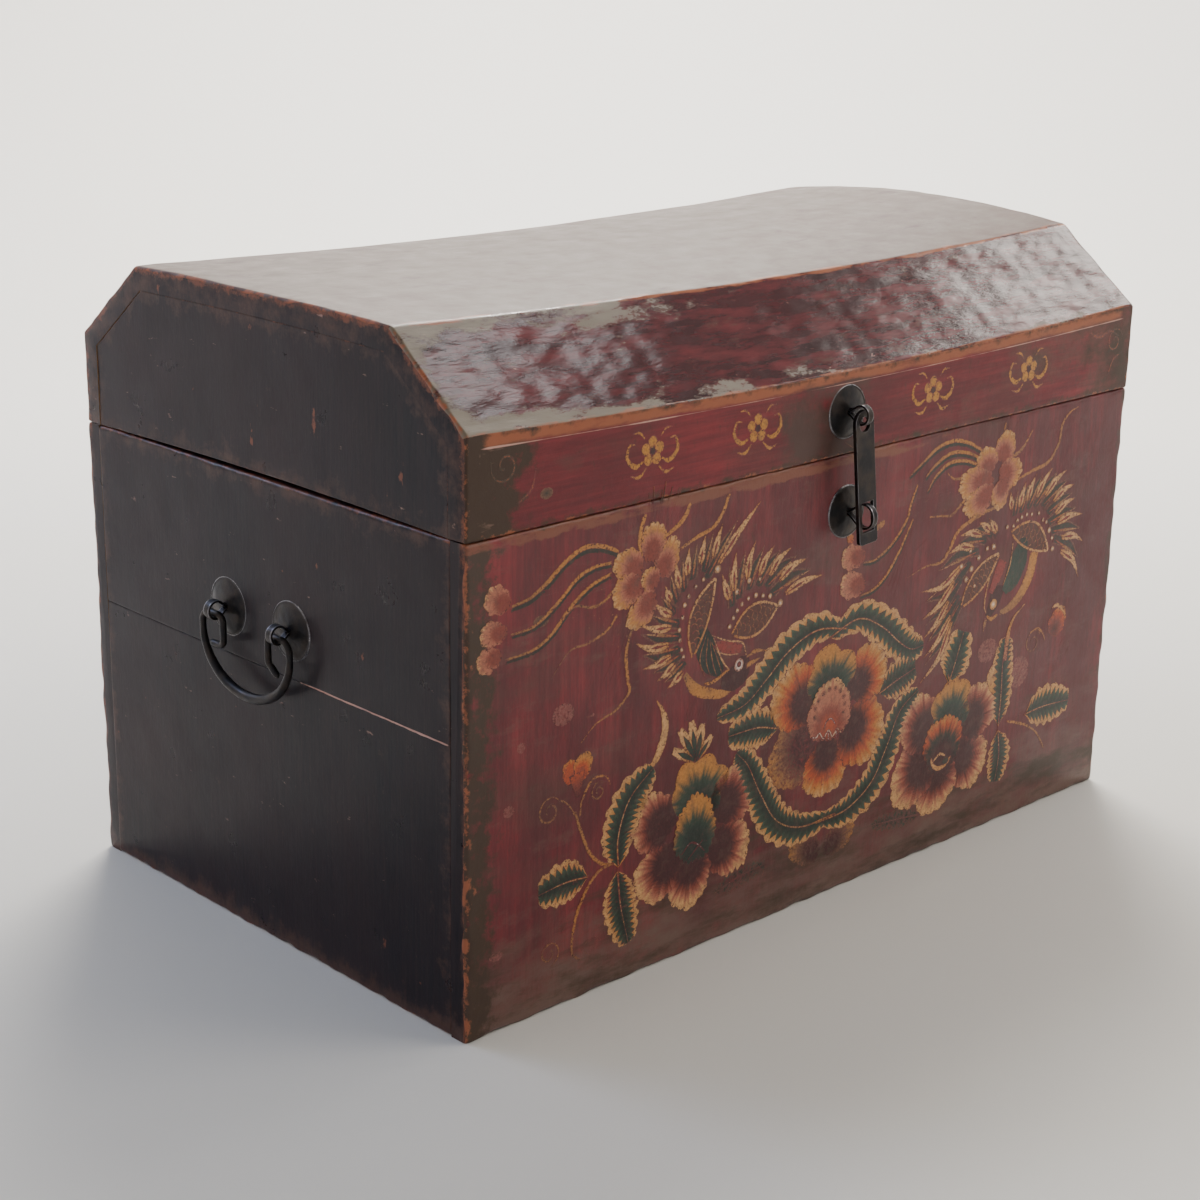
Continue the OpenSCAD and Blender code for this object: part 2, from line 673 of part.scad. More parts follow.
module bow() {
    n = bow_sides;
    rows = bow_steps + 3;
    polyhedron(
        points = [for (i = [-1:bow_steps + 1]) for (p = bow_ring(i)) p],
        faces = concat(
            [[for (j = [0:n - 1]) j]],
            [[for (j = [n - 1:-1:0]) (rows - 1) * n + j]],
            [for (i = [0:rows - 2]) for (j = [0:n - 1])
                [i * n + j, (i + 1) * n + j, (i + 1) * n + (j + 1) % n]],
            [for (i = [0:rows - 2]) for (j = [0:n - 1])
                [i * n + j, (i + 1) * n + (j + 1) % n, i * n + (j + 1) % n]]));
}
module bail() color(iron) translate([-half_l - bail_off, bail_y, pivot_z]) upright() {
    bow();
    hook(rear_tip_turn);
    mirror([1, 0, 0]) hook(front_tip_turn);
}
module left_bail() bail();
module right_bail() mirror([1, 0, 0]) bail();

// Places of the hinges: the origin is on the hinge axis, X along it
module at_hinge(side) translate([side * (half_l - hinge_inset), hinge_y, hinge_z]) children();
module at_hinges() for (side = [-1, 1]) at_hinge(side) children();

// Length of a slanted leg from the hinge axis to the middle of a tail behind a board
function slant_l(wall, r) = (hinge_off + wall + r) / cos(hinge_slant);

// Bores of a hinge staple's two legs, down and forward through the back board
module hinge_staple_bores() for (s = [-1, 1]) translate([s * hinge_spread / 2, 0, 0])
    rotate([90 + hinge_slant, 0, 0]) cylinder(r = hinge_r + fit, h = slant_l(board_t, hinge_r));

// Hinge staple: a bar on the axis, two legs through the board, tails turned down behind it
module hinge_staple() {
    half_bar = hinge_spread / 2 - corner_r;
    leg = slant_l(board_t, hinge_r);
    translate([-half_bar - bend_lap, 0, 0]) rotate([0, 90, 0])
        cylinder(r = hinge_r, h = 2 * (half_bar + bend_lap));
    both_ends() {
        rotate([hinge_slant, 0, 0]) {
            translate([half_bar, -corner_r, 0]) rotate_extrude(angle = 90)
                translate([corner_r, 0]) circle(hinge_r + bend_swell);
            translate([hinge_spread / 2, -leg, 0]) rotate([-90, 0, 0])
                cylinder(r = hinge_r, h = leg - corner_r + bend_lap);
        }
        translate([hinge_spread / 2, -leg * cos(hinge_slant), -leg * sin(hinge_slant)]) {
            sphere(hinge_r + bend_swell);
            translate([0, 0, -clinch_l]) cylinder(r = hinge_r, h = clinch_l);
        }
    }
}

// Bore of a hinge ring's shank, up and forward through the lid's back rail
module hinge_shank_bore() rotate([hinge_slant, 0, 0])
    cylinder(r = shank_r + fit, h = slant_l(lid_t, shank_r));

// Hinge ring: a ring round the staple's bar, a split shank through the rail and tails behind it
module hinge_ring() {
    shank = slant_l(lid_t, hinge_r);
    tail_y = -shank * sin(hinge_slant);
    tail_z = shank * cos(hinge_slant);
    rotate([hinge_slant, 0, 0]) difference() {
        union() {
            translate([0, 0, ring_shift]) rotate([0, 90, 0])
                rotate_extrude() translate([ring_r, 0]) circle(hinge_r);
            translate([0, 0, ring_shift + ring_r]) cylinder(r = shank_r, h = shank - ring_shift - ring_r);
        }
        translate([-2 * shank_r, -leg_split / 2, ring_shift + ring_r])
            cube([4 * shank_r, leg_split, ring_r]);
    }
    translate([0, tail_y, tail_z - clinch_l]) cylinder(r = hinge_r, h = 2 * clinch_l);
}

module left_hinge_staple() color(iron) at_hinge(-1) hinge_staple();
module right_hinge_staple() color(iron) at_hinge(1) hinge_staple();
module left_hinge_ring() color(iron) at_hinge(-1) hinge_ring();
module right_hinge_ring() color(iron) at_hinge(1) hinge_ring();

front_board();
back_board();
left_lower_plank();
left_upper_plank();
right_lower_plank();
right_upper_plank();
bottom_plank_front();
bottom_plank_middle();
bottom_plank_back();
corner_pegs();
bottom_nails();
lid_front_rail();
lid_back_rail();
lid_front_slope();
lid_back_slope();
lid_top_board();
lid_left_gable();
lid_right_gable();
lid_pegs();
hasp_eye_disc();
hasp_eye();
hasp_strap();
staple_disc();
hasp_staple();
left_bail();
left_front_disc();
left_rear_disc();
left_front_eye();
left_rear_eye();
right_bail();
right_front_disc();
right_rear_disc();
right_front_eye();
right_rear_eye();
left_hinge_staple();
right_hinge_staple();
left_hinge_ring();
right_hinge_ring();
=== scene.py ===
"""Old painted trunk: lacquered boards, forged iron and a painted front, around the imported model."""

import functools
import math

import bmesh
import bpy
import numpy as np
from bpy.props import FloatProperty, FloatVectorProperty, PointerProperty
from mathutils import Matrix, Vector


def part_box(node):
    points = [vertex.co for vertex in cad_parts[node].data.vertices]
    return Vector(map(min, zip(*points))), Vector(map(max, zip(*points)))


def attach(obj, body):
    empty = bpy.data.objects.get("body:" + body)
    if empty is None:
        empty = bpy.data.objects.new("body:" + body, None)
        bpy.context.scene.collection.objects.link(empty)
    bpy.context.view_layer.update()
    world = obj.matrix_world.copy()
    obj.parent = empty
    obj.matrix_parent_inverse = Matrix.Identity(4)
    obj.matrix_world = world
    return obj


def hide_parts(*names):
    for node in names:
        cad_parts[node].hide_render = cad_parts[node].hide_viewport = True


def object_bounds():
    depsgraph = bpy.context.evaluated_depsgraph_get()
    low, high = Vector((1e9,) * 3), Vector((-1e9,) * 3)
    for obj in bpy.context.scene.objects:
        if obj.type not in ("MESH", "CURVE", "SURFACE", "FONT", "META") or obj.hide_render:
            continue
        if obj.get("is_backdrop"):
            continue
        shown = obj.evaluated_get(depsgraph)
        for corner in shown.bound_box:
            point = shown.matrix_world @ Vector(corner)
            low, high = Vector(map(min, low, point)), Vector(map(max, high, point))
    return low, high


bl_info = {
    "name": "Painted trunk",
    "version": (1, 0, 0),
    "blender": (4, 5, 0),
    "location": "3D View > Sidebar > Trunk",
    "description": "Lacquered boards, forged iron and a painted front for an old trunk",
    "category": "Object",
}

MM = 0.001
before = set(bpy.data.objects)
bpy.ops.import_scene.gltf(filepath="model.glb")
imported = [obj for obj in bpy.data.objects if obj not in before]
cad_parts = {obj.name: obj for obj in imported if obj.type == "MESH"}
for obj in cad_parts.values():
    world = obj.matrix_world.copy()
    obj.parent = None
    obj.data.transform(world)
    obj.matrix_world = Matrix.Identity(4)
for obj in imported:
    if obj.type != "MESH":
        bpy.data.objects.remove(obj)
CAD_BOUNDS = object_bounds()


# Sizes read from the imported model's parts, in millimetres

def span(node):
    """Lowest and highest corner of a CAD node, in millimetres."""
    low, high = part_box(node)
    return np.array(low) / MM, np.array(high) / MM


BOARD_LOW, BOARD_HIGH = span("front_board")
PLANK_LOW, PLANK_HIGH = span("left_lower_plank")
UPPER_LOW, _ = span("left_upper_plank")
RAIL_LOW, _ = span("lid_front_rail")
FLOOR_LOW, FLOOR_HIGH = span("bottom_plank_front")
GABLE_LOW, GABLE_HIGH = span("lid_left_gable")
HALF_L = BOARD_HIGH[0]
HALF_D = -BOARD_LOW[1]
BODY_H = BOARD_HIGH[2]
BOARD_T = BOARD_HIGH[1] - BOARD_LOW[1]
END_T = PLANK_HIGH[0] - PLANK_LOW[0]
END_Y = -PLANK_LOW[1]
PLANK_JOINT = UPPER_LOW[2]
BOTTOM_T = FLOOR_HIGH[2]
BOTTOM_LAP = FLOOR_LOW[1] + HALF_D
LID_Z = RAIL_LOW[2]
GABLE_T = GABLE_HIGH[0] - GABLE_LOW[0]
HELD_X = HALF_L - GABLE_T


# Colours and materials

def linear(code):
    """sRGB hex as linear red, green, blue and 1: ((c + 0.055) / 1.055) to the power 2.4, or c / 12.92 when dark."""
    c = np.array([int(code[i:i + 2], 16) / 255 for i in (1, 3, 5)])
    return tuple(np.where(c <= 0.04045, c / 12.92, ((c + 0.055) / 1.055) ** 2.4)) + (1.0,)


def colour(name, description, code):
    """Colour property with an sRGB hex default."""
    return FloatVectorProperty(name=name, description=description, default=linear(code),
                               subtype="COLOR", size=4, min=0, max=1)


def amount(name, description, default, measure=""):
    """Property of a length in millimetres, a power in watts or a bare share."""
    return FloatProperty(name=name + measure, description=description, default=default, min=0)


def add(tree, kind, links=None, **settings):
    """Adds one node, with its settings, and with its inputs as values or as sockets to link."""
    made = tree.nodes.new("ShaderNode" + kind)
    for key, value in settings.items():
        setattr(made, key, value)
    for key, value in (links or {}).items():
        if isinstance(value, bpy.types.NodeSocket):
            tree.links.new(value, made.inputs[key])
        else:
            made.inputs[key].default_value = value
    return made


def finish(name, group="trunk_lacquer"):
    """For a function that adds the nodes of the material called name, given its tree, its Object coordinates in
    metres and a group of settings: the material is made by the first call and handed out again by later ones."""
    def wrap(build):
        @functools.cache
        @functools.wraps(build)
        def maker():
            material = bpy.data.materials.new(name)
            material.use_nodes = True
            tree = material.node_tree
            tree.nodes.clear()
            build(tree, add(tree, "TexCoord").outputs["Object"], getattr(bpy.context.scene, group))
            return material
        return maker
    return wrap


def patches(tree, place, under, over, grain, cover, soft=0.06, stretch=(1, 1, 1), rough=0.6, offset=0.0):
    """Colour over lies on colour under in ragged patches about grain millimetres across; gives the colour and the
    patches' mask. cover is the share of the surface that they take, or a socket that gives it."""
    moved = add(tree, "Mapping", {"Vector": place, "Scale": stretch, "Location": (offset, offset * 0.7, 0)})
    noise = add(tree, "TexNoise", {"Vector": moved.outputs[0], "Scale": 1 / (grain * MM),
                                   "Detail": 6.0, "Roughness": rough})
    spread = add(tree, "MapRange", {"Value": noise.outputs[0], "From Min": 0.25, "From Max": 0.75})
    edge = add(tree, "Math", {0: spread.outputs[0], 1: cover}, operation="ADD")
    mask = add(tree, "MapRange", {"Value": edge.outputs[0], "From Min": 1 - soft, "From Max": 1 + soft})
    mixed = add(tree, "MixRGB", {"Fac": mask.outputs[0], "Color1": under, "Color2": over})
    return mixed.outputs[0], mask.outputs[0]


def layers(tree, place, base, *rows):
    """Base colour under patches laid one after the other; each row is what patches takes from over on."""
    for row in rows:
        base = patches(tree, place, base, *row)[0]
    return base


def near_edge(tree, width, fade, strength):
    """Rises from 0 to strength where the piece's own edge attribute, in millimetres, falls below width."""
    edge = add(tree, "Attribute", attribute_name="edge")
    return add(tree, "MapRange", {"Value": edge.outputs["Fac"], "From Min": width + fade, "From Max": width - fade,
                                  "To Min": 0.0, "To Max": strength}).outputs[0]


def share(tree, place, *ramps):
    """Product of ramps, each of them an axis, the millimetres along it where the ramp is 0 and where it is full,
    and its full strength unless that is 1."""
    where = add(tree, "SeparateXYZ", {"Vector": place})
    product = None
    for axis, start, end, *strength in ramps:
        ramp = add(tree, "MapRange", {"Value": where.outputs[axis], "From Min": start * MM, "From Max": end * MM,
                                      "To Min": 0.0, "To Max": strength[0] if strength else 1.0}).outputs[0]
        product = add(tree, "Math", {0: product, 1: ramp}, operation="MULTIPLY").outputs[0] if product else ramp
    return product


def brushed(tree, place, *marks):
    """Bump of brush, rubbing or hammer marks, the later ones on top of the earlier. Each row is the millimetres
    between marks, their depth in millimetres and the scale of the pattern along each axis: below 1 draws it out."""
    normal = None
    for apart, depth, stretch in marks:
        moved = add(tree, "Mapping", {"Vector": place, "Scale": stretch})
        noise = add(tree, "TexNoise", {"Vector": moved.outputs[0], "Scale": 1 / (apart * MM),
                                       "Detail": 4.0, "Roughness": 0.65})
        links = {"Height": noise.outputs[0], "Distance": depth * MM, "Strength": 1.0}
        if normal:
            links["Normal"] = normal
        normal = add(tree, "Bump", links).outputs[0]
    return normal


def satin_skin(tree, place, base, bump, wander, low, high, shine=0.35):
    """Rubbed skin on the material's output: its roughness goes between low and high within wander millimetres."""
    noise = add(tree, "TexNoise", {"Vector": place, "Scale": 1 / (wander * MM), "Detail": 5.0, "Roughness": 0.6})
    gloss = add(tree, "MapRange", {"Value": noise.outputs[0], "From Min": 0.3, "From Max": 0.7,
                                   "To Min": low, "To Max": high})
    shader = add(tree, "BsdfPrincipled", {"Base Color": base, "Roughness": gloss.outputs[0], "IOR": 1.5,
                                          "Specular IOR Level": shine, "Normal": bump})
    add(tree, "OutputMaterial", {"Surface": shader.outputs[0]})


# Finishes

ALL_WAYS = (1, 1, 1)


def red_ground(tree, place, p, drawn, bright):
    """Old red lacquer: cloudy maroon brushed along the drawn-out axis, with brighter passages, browner ones and
    fine brush marks. bright is the brighter passages' share."""
    fine = tuple(0.05 if k < 1 else 1 for k in drawn)
    return layers(tree, place, p.red_dark,
                  (p.red, 100, 0.55, 0.4, drawn, 0.55),
                  (p.red_bright, 34, bright, 0.3, drawn, 0.7, 0.31),
                  (p.umber, 70, 0.17, 0.3, (0.5, 1, 1.4), 0.6, 0.83),
                  (p.red_dark, 3.5, 0.22, 0.6, fine, 0.6, 0.47),
                  (p.olive, 5, 0.12, 0.2, (1, 1, 0.5), 0.75, 0.57))


def worn_border(tree, p, width, offset=0.0):
    """Rows of the olive-brown band that handling left along the edges, ragged, and of the orange chips in it."""
    return ((p.olive, 14, near_edge(tree, width, width * 0.5, 0.46), 0.2, ALL_WAYS, 0.7, offset),
            (p.chip, 9, near_edge(tree, 3, 2.5, 0.42), 0.08, ALL_WAYS, 0.75, offset + 0.4))


def front_ground(tree, place, p):
    """Ground of the painted front: brightest left of its middle, browned at its left end; its greyish brown foot is
    partly dust and partly painted reflection of the pale floor.
    """
    bright = add(tree, "Math", {0: share(tree, place, ("X", 120, -240, 0.2)), 1: 0.2}, operation="ADD").outputs[0]
    return layers(tree, place, red_ground(tree, place, p, (1, 1, 0.3), bright),
                  # greyish foot: partly dust, partly painted reflection of the pale floor
                  (p.foot, 20, share(tree, place, ("Z", 85, 5, 0.85)), 0.4, (0.4, 1, 1), 0.7),
                  (p.olive, 26, share(tree, place, ("Z", 170, 30, 0.40)), 0.16, (0.25, 1, 1), 0.7, 0.21),
                  (p.olive, 13, share(tree, place, ("X", -338, -366, 0.7)), 0.15, ALL_WAYS, 0.7),
                  (p.chip_dark, 16, share(tree, place, ("Z", 357, 362), ("X", 170, 60, 0.66)), 0.12, (0.4, 1, 1), 0.7,
                   0.5),
                  *worn_border(tree, p, p.band_front),
                  (p.chip, 13, share(tree, place, ("X", -369, -379, 0.42)), 0.06, (1, 1, 0.7)))


@finish("cinnabar lacquer, brushed")
def red_lacquer(tree, place, p):
    """Oil lacquer tinted with iron red, brushed upright over a primed softwood front: dull, cloudy and scuffed."""
    bump = brushed(tree, place, (1.6, 0.10, (1, 1, 0.2)), (14, 0.30, ALL_WAYS))
    satin_skin(tree, place, front_ground(tree, place, p), bump, 25, 0.30, 0.52)


def fascia_ground(tree, place, p):
    """Ground of the lid's upright rail: glowing where it lasted, browned in patches, with a brown-orange band and
    a thin pale scored line along its upper edge."""
    upper = share(tree, place, ("Z", 398, 406), ("X", -369, -360), ("X", 369, 360))
    band = add(tree, "Math", {0: near_edge(tree, 11, 2.5, 0.7), 1: upper}, operation="MULTIPLY").outputs[0]
    score = add(tree, "Math", {0: near_edge(tree, 12.2, 0.5, 0.58), 1: near_edge(tree, 11.2, 0.5, 0.58)},
                operation="SUBTRACT").outputs[0]
    score = add(tree, "Math", {0: score, 1: upper}, operation="MULTIPLY").outputs[0]
    return layers(tree, place, red_ground(tree, place, p, (0.2, 1, 1), 0.42),
                  (p.olive, 42, share(tree, place, ("X", -285, -345, 0.75)), 0.1, (0.8, 1, 1), 0.7),
                  (p.umber, 42, share(tree, place, ("X", 60, 372, 0.42)), 0.25, (0.6, 1, 1)),
                  (p.olive, 30, share(tree, place, ("X", 90, 360, 0.46)), 0.2, (0.7, 1, 1), 0.7),
                  (p.brown, 34, share(tree, place, ("X", -105, -50, 0.66), ("X", 60, 0)), 0.2, (0.8, 1, 1), 0.7),
                  (p.chip, 24, band, 0.2, (0.3, 1, 1), 0.7, 0.5),
                  (p.chip_pale, 30, score, 0.15, (0.3, 1, 1)),
                  *worn_border(tree, p, 6, 0.2))


@finish("cinnabar lacquer on the fascia")
def fascia_lacquer(tree, place, p):
    """Oil lacquer tinted with iron red on the lid's upright rail, brushed lengthwise."""
    bump = brushed(tree, place, (1.6, 0.10, (0.2, 1, 1)), (14, 0.30, ALL_WAYS))
    satin_skin(tree, place, fascia_ground(tree, place, p), bump, 25, 0.28, 0.48, 0.24)


@finish("black lacquer, brushed")
def black_lacquer(tree, place, p):
    """Soot-black oil lacquer on the ends and back, brushed upright and browned by age: satin, faintly ribbed. A
    pale line marks the chipped joint of the planks at the front."""
    joint = share(tree, place, ("Z", PLANK_JOINT - 1.2, PLANK_JOINT - 0.4),
                  ("Z", PLANK_JOINT + 0.9, PLANK_JOINT + 0.2), ("Y", -38, -46), ("Y", -218, -210, 0.75))
    # p.black carries a faint blue tint that is painted cool light from the left
    base = layers(tree, place, p.black,
                  (p.black_brown, 110, 0.45, 0.45, (1, 1, 0.7), 0.5),
                  (p.black_brown, 3, 0.28, 0.4, (1, 1, 0.05), 0.6, 0.2),
                  (p.chip_dark, 19, 0.075, 0.03, (1, 1, 0.6), 0.6, 0.63),
                  (p.brown, 15, share(tree, place, ("Z", 26, 2, 0.62)), 0.2, (1, 1, 0.7), 0.7),
                  (p.brown, 20, near_edge(tree, p.band_side, 8, 0.46), 0.22, ALL_WAYS, 0.7, 0.1),
                  (p.chip_dark, 11, near_edge(tree, 2.2, 1.6, 0.52), 0.16, ALL_WAYS, 0.75, 0.35),
                  (p.chip_pale, 7, joint, 0.12, (1, 0.4, 1)))
    bump = brushed(tree, place, (1.6, 0.07, (1, 1, 0.06)), (20, 0.30, (1, 1, 0.8)))
    satin_skin(tree, place, base, bump, 30, 0.26, 0.42, 0.18)


@finish("red lacquer over lifted cloth")
def slope_lacquer(tree, place, p):
    """Thick red lacquer over a cloth that has lifted: glossy, wrinkled and streaked along the board. Ragged places
    along the edges and ends, most at the left, are a matt silvery olive: partly rubbed lacquer, partly painted sheen."""
    base = layers(tree, place, p.wine_dark,
                  (p.wine, 40, 0.5, 0.4, (0.25, 1, 1), 0.65),
                  (p.wine_bright, 12, 0.42, 0.2, (0.2, 1, 1), 0.7, 0.2),
                  (p.umber, 16, 0.18, 0.15, (0.4, 1, 1), 0.7, 0.6))
    near = add(tree, "Math", {0: near_edge(tree, 16, 12, 0.34), 1: share(tree, place, ("X", 60, -330, 0.26))},
               operation="ADD").outputs[0]
    # silvery olive patches: partly lacquer rubbed thin, partly painted sheen
    base, worn = patches(tree, place, base, p.rubbed, 34, near, 0.08, (0.4, 1, 1), 0.72, 0.4)
    base = layers(tree, place, base,
                  (p.chip_pale, 9, 0.09, 0.05, (0.6, 1, 1), 0.7, 0.15),
                  (p.chip, 14, near_edge(tree, 2.6, 1.8, 0.5), 0.1, (0.3, 1, 1), 0.7, 0.75))
    gloss = add(tree, "MapRange", {"Value": worn, "To Min": 0.15, "To Max": 0.40})
    bump = brushed(tree, place, (2.4, 0.13, (0.25, 1, 1)), (9, 0.42, (0.25, 1, 1)))
    shader = add(tree, "BsdfPrincipled", {"Base Color": base, "Roughness": gloss.outputs[0], "IOR": 1.5,
                                          "Specular IOR Level": 0.45, "Normal": bump})
    add(tree, "OutputMaterial", {"Surface": shader.outputs[0]})


@finish("brown lacquer, rubbed")
def top_lacquer(tree, place, p):
    """Brown lacquer of the lid's top, rubbed to a satin sheen and scratched by what stood on it."""
    base = layers(tree, place, p.top_brown,
                  (p.umber, 90, 0.5, 0.4, (0.5, 1, 1), 0.6),
                  (p.top_grey, 30, 0.35, 0.3, (0.5, 1, 1), 0.7, 0.3),
                  (p.scratch, 9, 0.24, 0.05, (0.16, 1, 1), 0.75, 0.6),
                  (p.red_dark, 22, 0.24, 0.10, (0.4, 1, 1), 0.75, 0.15),
                  (p.umber, 14, near_edge(tree, 8, 3, 0.6), 0.2, (0.4, 1, 1), 0.7, 0.2),
                  (p.chip, 12, near_edge(tree, 3, 2.5, 0.5), 0.1, (0.3, 1, 1), 0.7, 0.9))
    bump = brushed(tree, place, (1.4, 0.09, (0.2, 1, 1)), (9, 0.22, (0.3, 1, 1)))
    satin_skin(tree, place, base, bump, 22, 0.36, 0.50, 0.13)


@finish("camphor wood, planed")
def old_wood(tree, place, p):
    """Camphor softwood, sawn and planed, never painted: straw brown, darker in its late rings, dull."""
    moved = add(tree, "Mapping", {"Vector": place, "Scale": (0.12, 1, 1), "Rotation": (0, 0, 0.05)})
    rings = add(tree, "TexWave", {"Vector": moved.outputs[0], "Scale": 1 / (45 * MM), "Distortion": 12.0,
                                  "Detail": 3.0, "Detail Scale": 0.8}, bands_direction="Y")
    late = add(tree, "Math", {0: rings.outputs["Fac"], 1: 0.5}, operation="MULTIPLY")
    base = add(tree, "MixRGB", {"Fac": late.outputs[0], "Color1": p.wood, "Color2": p.wood_dark}).outputs[0]
    base = layers(tree, place, base, (p.wood_dark, 40, 0.3, 0.4, (0.3, 1, 1), 0.6))
    satin_skin(tree, place, base, brushed(tree, place, (1.5, 0.12, (0.08, 1, 1))), 20, 0.6, 0.8)


@finish("bamboo, shaved")
def split_bamboo(tree, place, p):
    """Bamboo pegs, split and shaved: pale straw with fine fibres along the peg."""
    base = layers(tree, place, p.wood, (p.wood_dark, 1.0, 0.4, 0.3, (1, 0.1, 1), 0.6))
    satin_skin(tree, place, base, brushed(tree, place, (0.6, 0.05, (1, 0.1, 1))), 8, 0.45, 0.6)


def iron_skin(tree, place, p, base, low, high):
    """Wrought iron, hammered: dents a few millimetres wide, brown oil film and specks of rust. Its roughness goes
    between low and high."""
    base = layers(tree, place, base,
                  (p.iron_brown, 12, 0.38, 0.3, ALL_WAYS, 0.6),
                  (p.rust, 4, 0.07, 0.08, ALL_WAYS, 0.7, 0.3))
    noise = add(tree, "TexNoise", {"Vector": place, "Scale": 1 / (6 * MM), "Detail": 5.0})
    gloss = add(tree, "MapRange", {"Value": noise.outputs[0], "From Min": 0.3, "From Max": 0.7,
                                   "To Min": low, "To Max": high})
    shader = add(tree, "BsdfPrincipled", {"Base Color": base, "Metallic": 0.8, "Roughness": gloss.outputs[0],
                                          "Normal": brushed(tree, place, (1.0, 0.05, ALL_WAYS), (7, 0.25, ALL_WAYS))})
    add(tree, "OutputMaterial", {"Surface": shader.outputs[0]})


@finish("wrought iron, oil-blackened", "trunk_iron")
def forged_iron(tree, place, p):
    """Iron blackened in oil: near black and soft in its gloss."""
    iron_skin(tree, place, p, p.iron, 0.30, 0.52)


@finish("wrought iron, rubbed bright", "trunk_iron")
def rubbed_and_highlit_iron(tree, place, p):
    """Iron on rims and edges, grey and brighter: partly rubbed bare by hands and neighbours, partly a painted
    highlight.
    """
    iron_skin(tree, place, p, p.iron_bright, 0.22, 0.38)


# Surfaces

def swell(p, length, seed, stretch=(1, 1, 1), waves=10):
    """Smooth random height, mostly within -1 to 1, at points p: a sum of cosine waves of random direction and
    phase whose lengths lie near length, drawn out along each axis by stretch."""
    rng = np.random.default_rng(seed)
    way = rng.normal(size=(waves, 3))
    way /= np.linalg.norm(way, axis=1, keepdims=True)
    way *= 2 * math.pi / (length * rng.uniform(0.7, 1.5, (waves, 1))) / np.array(stretch, float)
    return np.cos(p @ way.T + rng.uniform(0, 2 * math.pi, waves)).sum(-1) * 0.8 / math.sqrt(waves)


def smooth(x, low, high):
    """Rises smoothly from 0 at low to 1 at high: 3 u squared less 2 u cubed."""
    u = np.clip((x - low) / (high - low), 0, 1)
    return u * u * (3 - 2 * u)


def eased(distance, radius):
    """Drop of a rounded rim at a distance from it: the radius less the height of its quarter circle."""
    x = np.clip(radius - distance, 0, radius)
    return radius - np.sqrt(np.maximum(radius * radius - x * x, 0))


def spaced(low, high, step, ease):
    """Places from low to high about step apart, crowded within ease of both ends as on a quarter circle."""
    near = ease * (1 - np.cos(np.linspace(0, math.pi / 2, 6)))[:-1]
    inner = np.linspace(low + ease, high - ease, max(2, round((high - low - 2 * ease) / step)) + 1)
    return np.concatenate([low + near, inner, high - near[::-1]])


def along(a, b, step):
    """Points from a to b about step apart, both ends included."""
    a, b = np.asarray(a, float), np.asarray(b, float)
    n = max(1, round(np.linalg.norm(b - a) / step))
    return a + (b - a) * np.linspace(0, 1, n + 1)[:, None]


def put_mesh(name, points, faces, kinds, materials, attributes=None, sharp=35):
    """Mesh piece from points in millimetres. faces are arrays of corner numbers, one array per number of corners.
    Where the shell's volume, summed as tetrahedra to the origin, is negative, every face is turned round."""
    volume = 0.0
    for block in faces:
        for k in range(1, block.shape[1] - 1):
            a, b, c = points[block[:, 0]], points[block[:, k]], points[block[:, k + 1]]
            volume += np.einsum("ij,ij->", a, np.cross(b, c))
    turned = [block[:, ::-1] if volume < 0 else block for block in faces]
    mesh = bpy.data.meshes.new(name)
    mesh.from_pydata((points * MM).tolist(), [], [row for block in turned for row in block.tolist()])
    for material in materials:
        mesh.materials.append(material)
    mesh.polygons.foreach_set("material_index", np.concatenate(kinds).astype(np.int32))
    for key, values in (attributes or {}).items():
        kind = "FLOAT" if values.ndim == 1 else "FLOAT_COLOR"
        field = "value" if values.ndim == 1 else "color"
        mesh.attributes.new(key, kind, "POINT").data.foreach_set(field, values.astype(np.float32).ravel())
    mesh.shade_smooth()
    mesh.set_sharp_from_angle(angle=math.radians(sharp))
    piece = bpy.data.objects.new(name, mesh)
    bpy.context.scene.collection.objects.link(piece)
    return piece


def carried(name, rings, side_kinds, cap_kind, materials, edge=None, closed=False, sharp=35):
    """Shell of a ring of points carried along a path: quads between neighbouring rings, and a cap on each end
    unless the path is closed. rings is (stations, points round, 3); edge is (stations, points round)."""
    n, m = rings.shape[:2]
    i = np.arange(n if closed else n - 1)[:, None]
    j = np.arange(m)[None, :]
    k, after = (i + 1) % n, (j + 1) % m
    quads = np.stack([i * m + j, i * m + after, k * m + after, k * m + j], -1).reshape(-1, 4)
    faces, kinds = [quads], [np.broadcast_to(side_kinds, (len(i), m)).ravel()]
    if not closed:
        faces += [np.arange(m)[None, ::-1], np.arange((n - 1) * m, n * m)[None]]
        kinds += [np.array([cap_kind]), np.array([cap_kind])]
    attributes = {} if edge is None else {"edge": edge.ravel()}
    return put_mesh(name, rings.reshape(-1, 3), faces, kinds, materials, attributes, sharp)


def stand_in(piece, node, body, slot):
    """Lets a piece replace a CAD node, which it hides, and ride on a body. slot is not used."""
    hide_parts(node)
    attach(piece, body)


# Boards of the body

FAR = 60.0     # edge attribute of a point that lies on no worn rim
SKIN = 0.25    # lacquer's thickness over the wood's face
FACE_STEP = 3.0
FACE_EASE = 4.0
PLANK_SUNK = 0.1
GABLE_SUNK = 0.75


def board_swell(points, seed, sunk=0.0):
    """Slow unevenness of a planed and lacquered board, in millimetres out of its face, which may lie sunk."""
    return SKIN + 0.26 * swell(points, 170, seed) + 0.10 * swell(points, 45, seed + 1) - sunk


def front_height(points):
    """Height of the body's front over its plane: the lacquered board's swell."""
    return board_swell(points, 11)


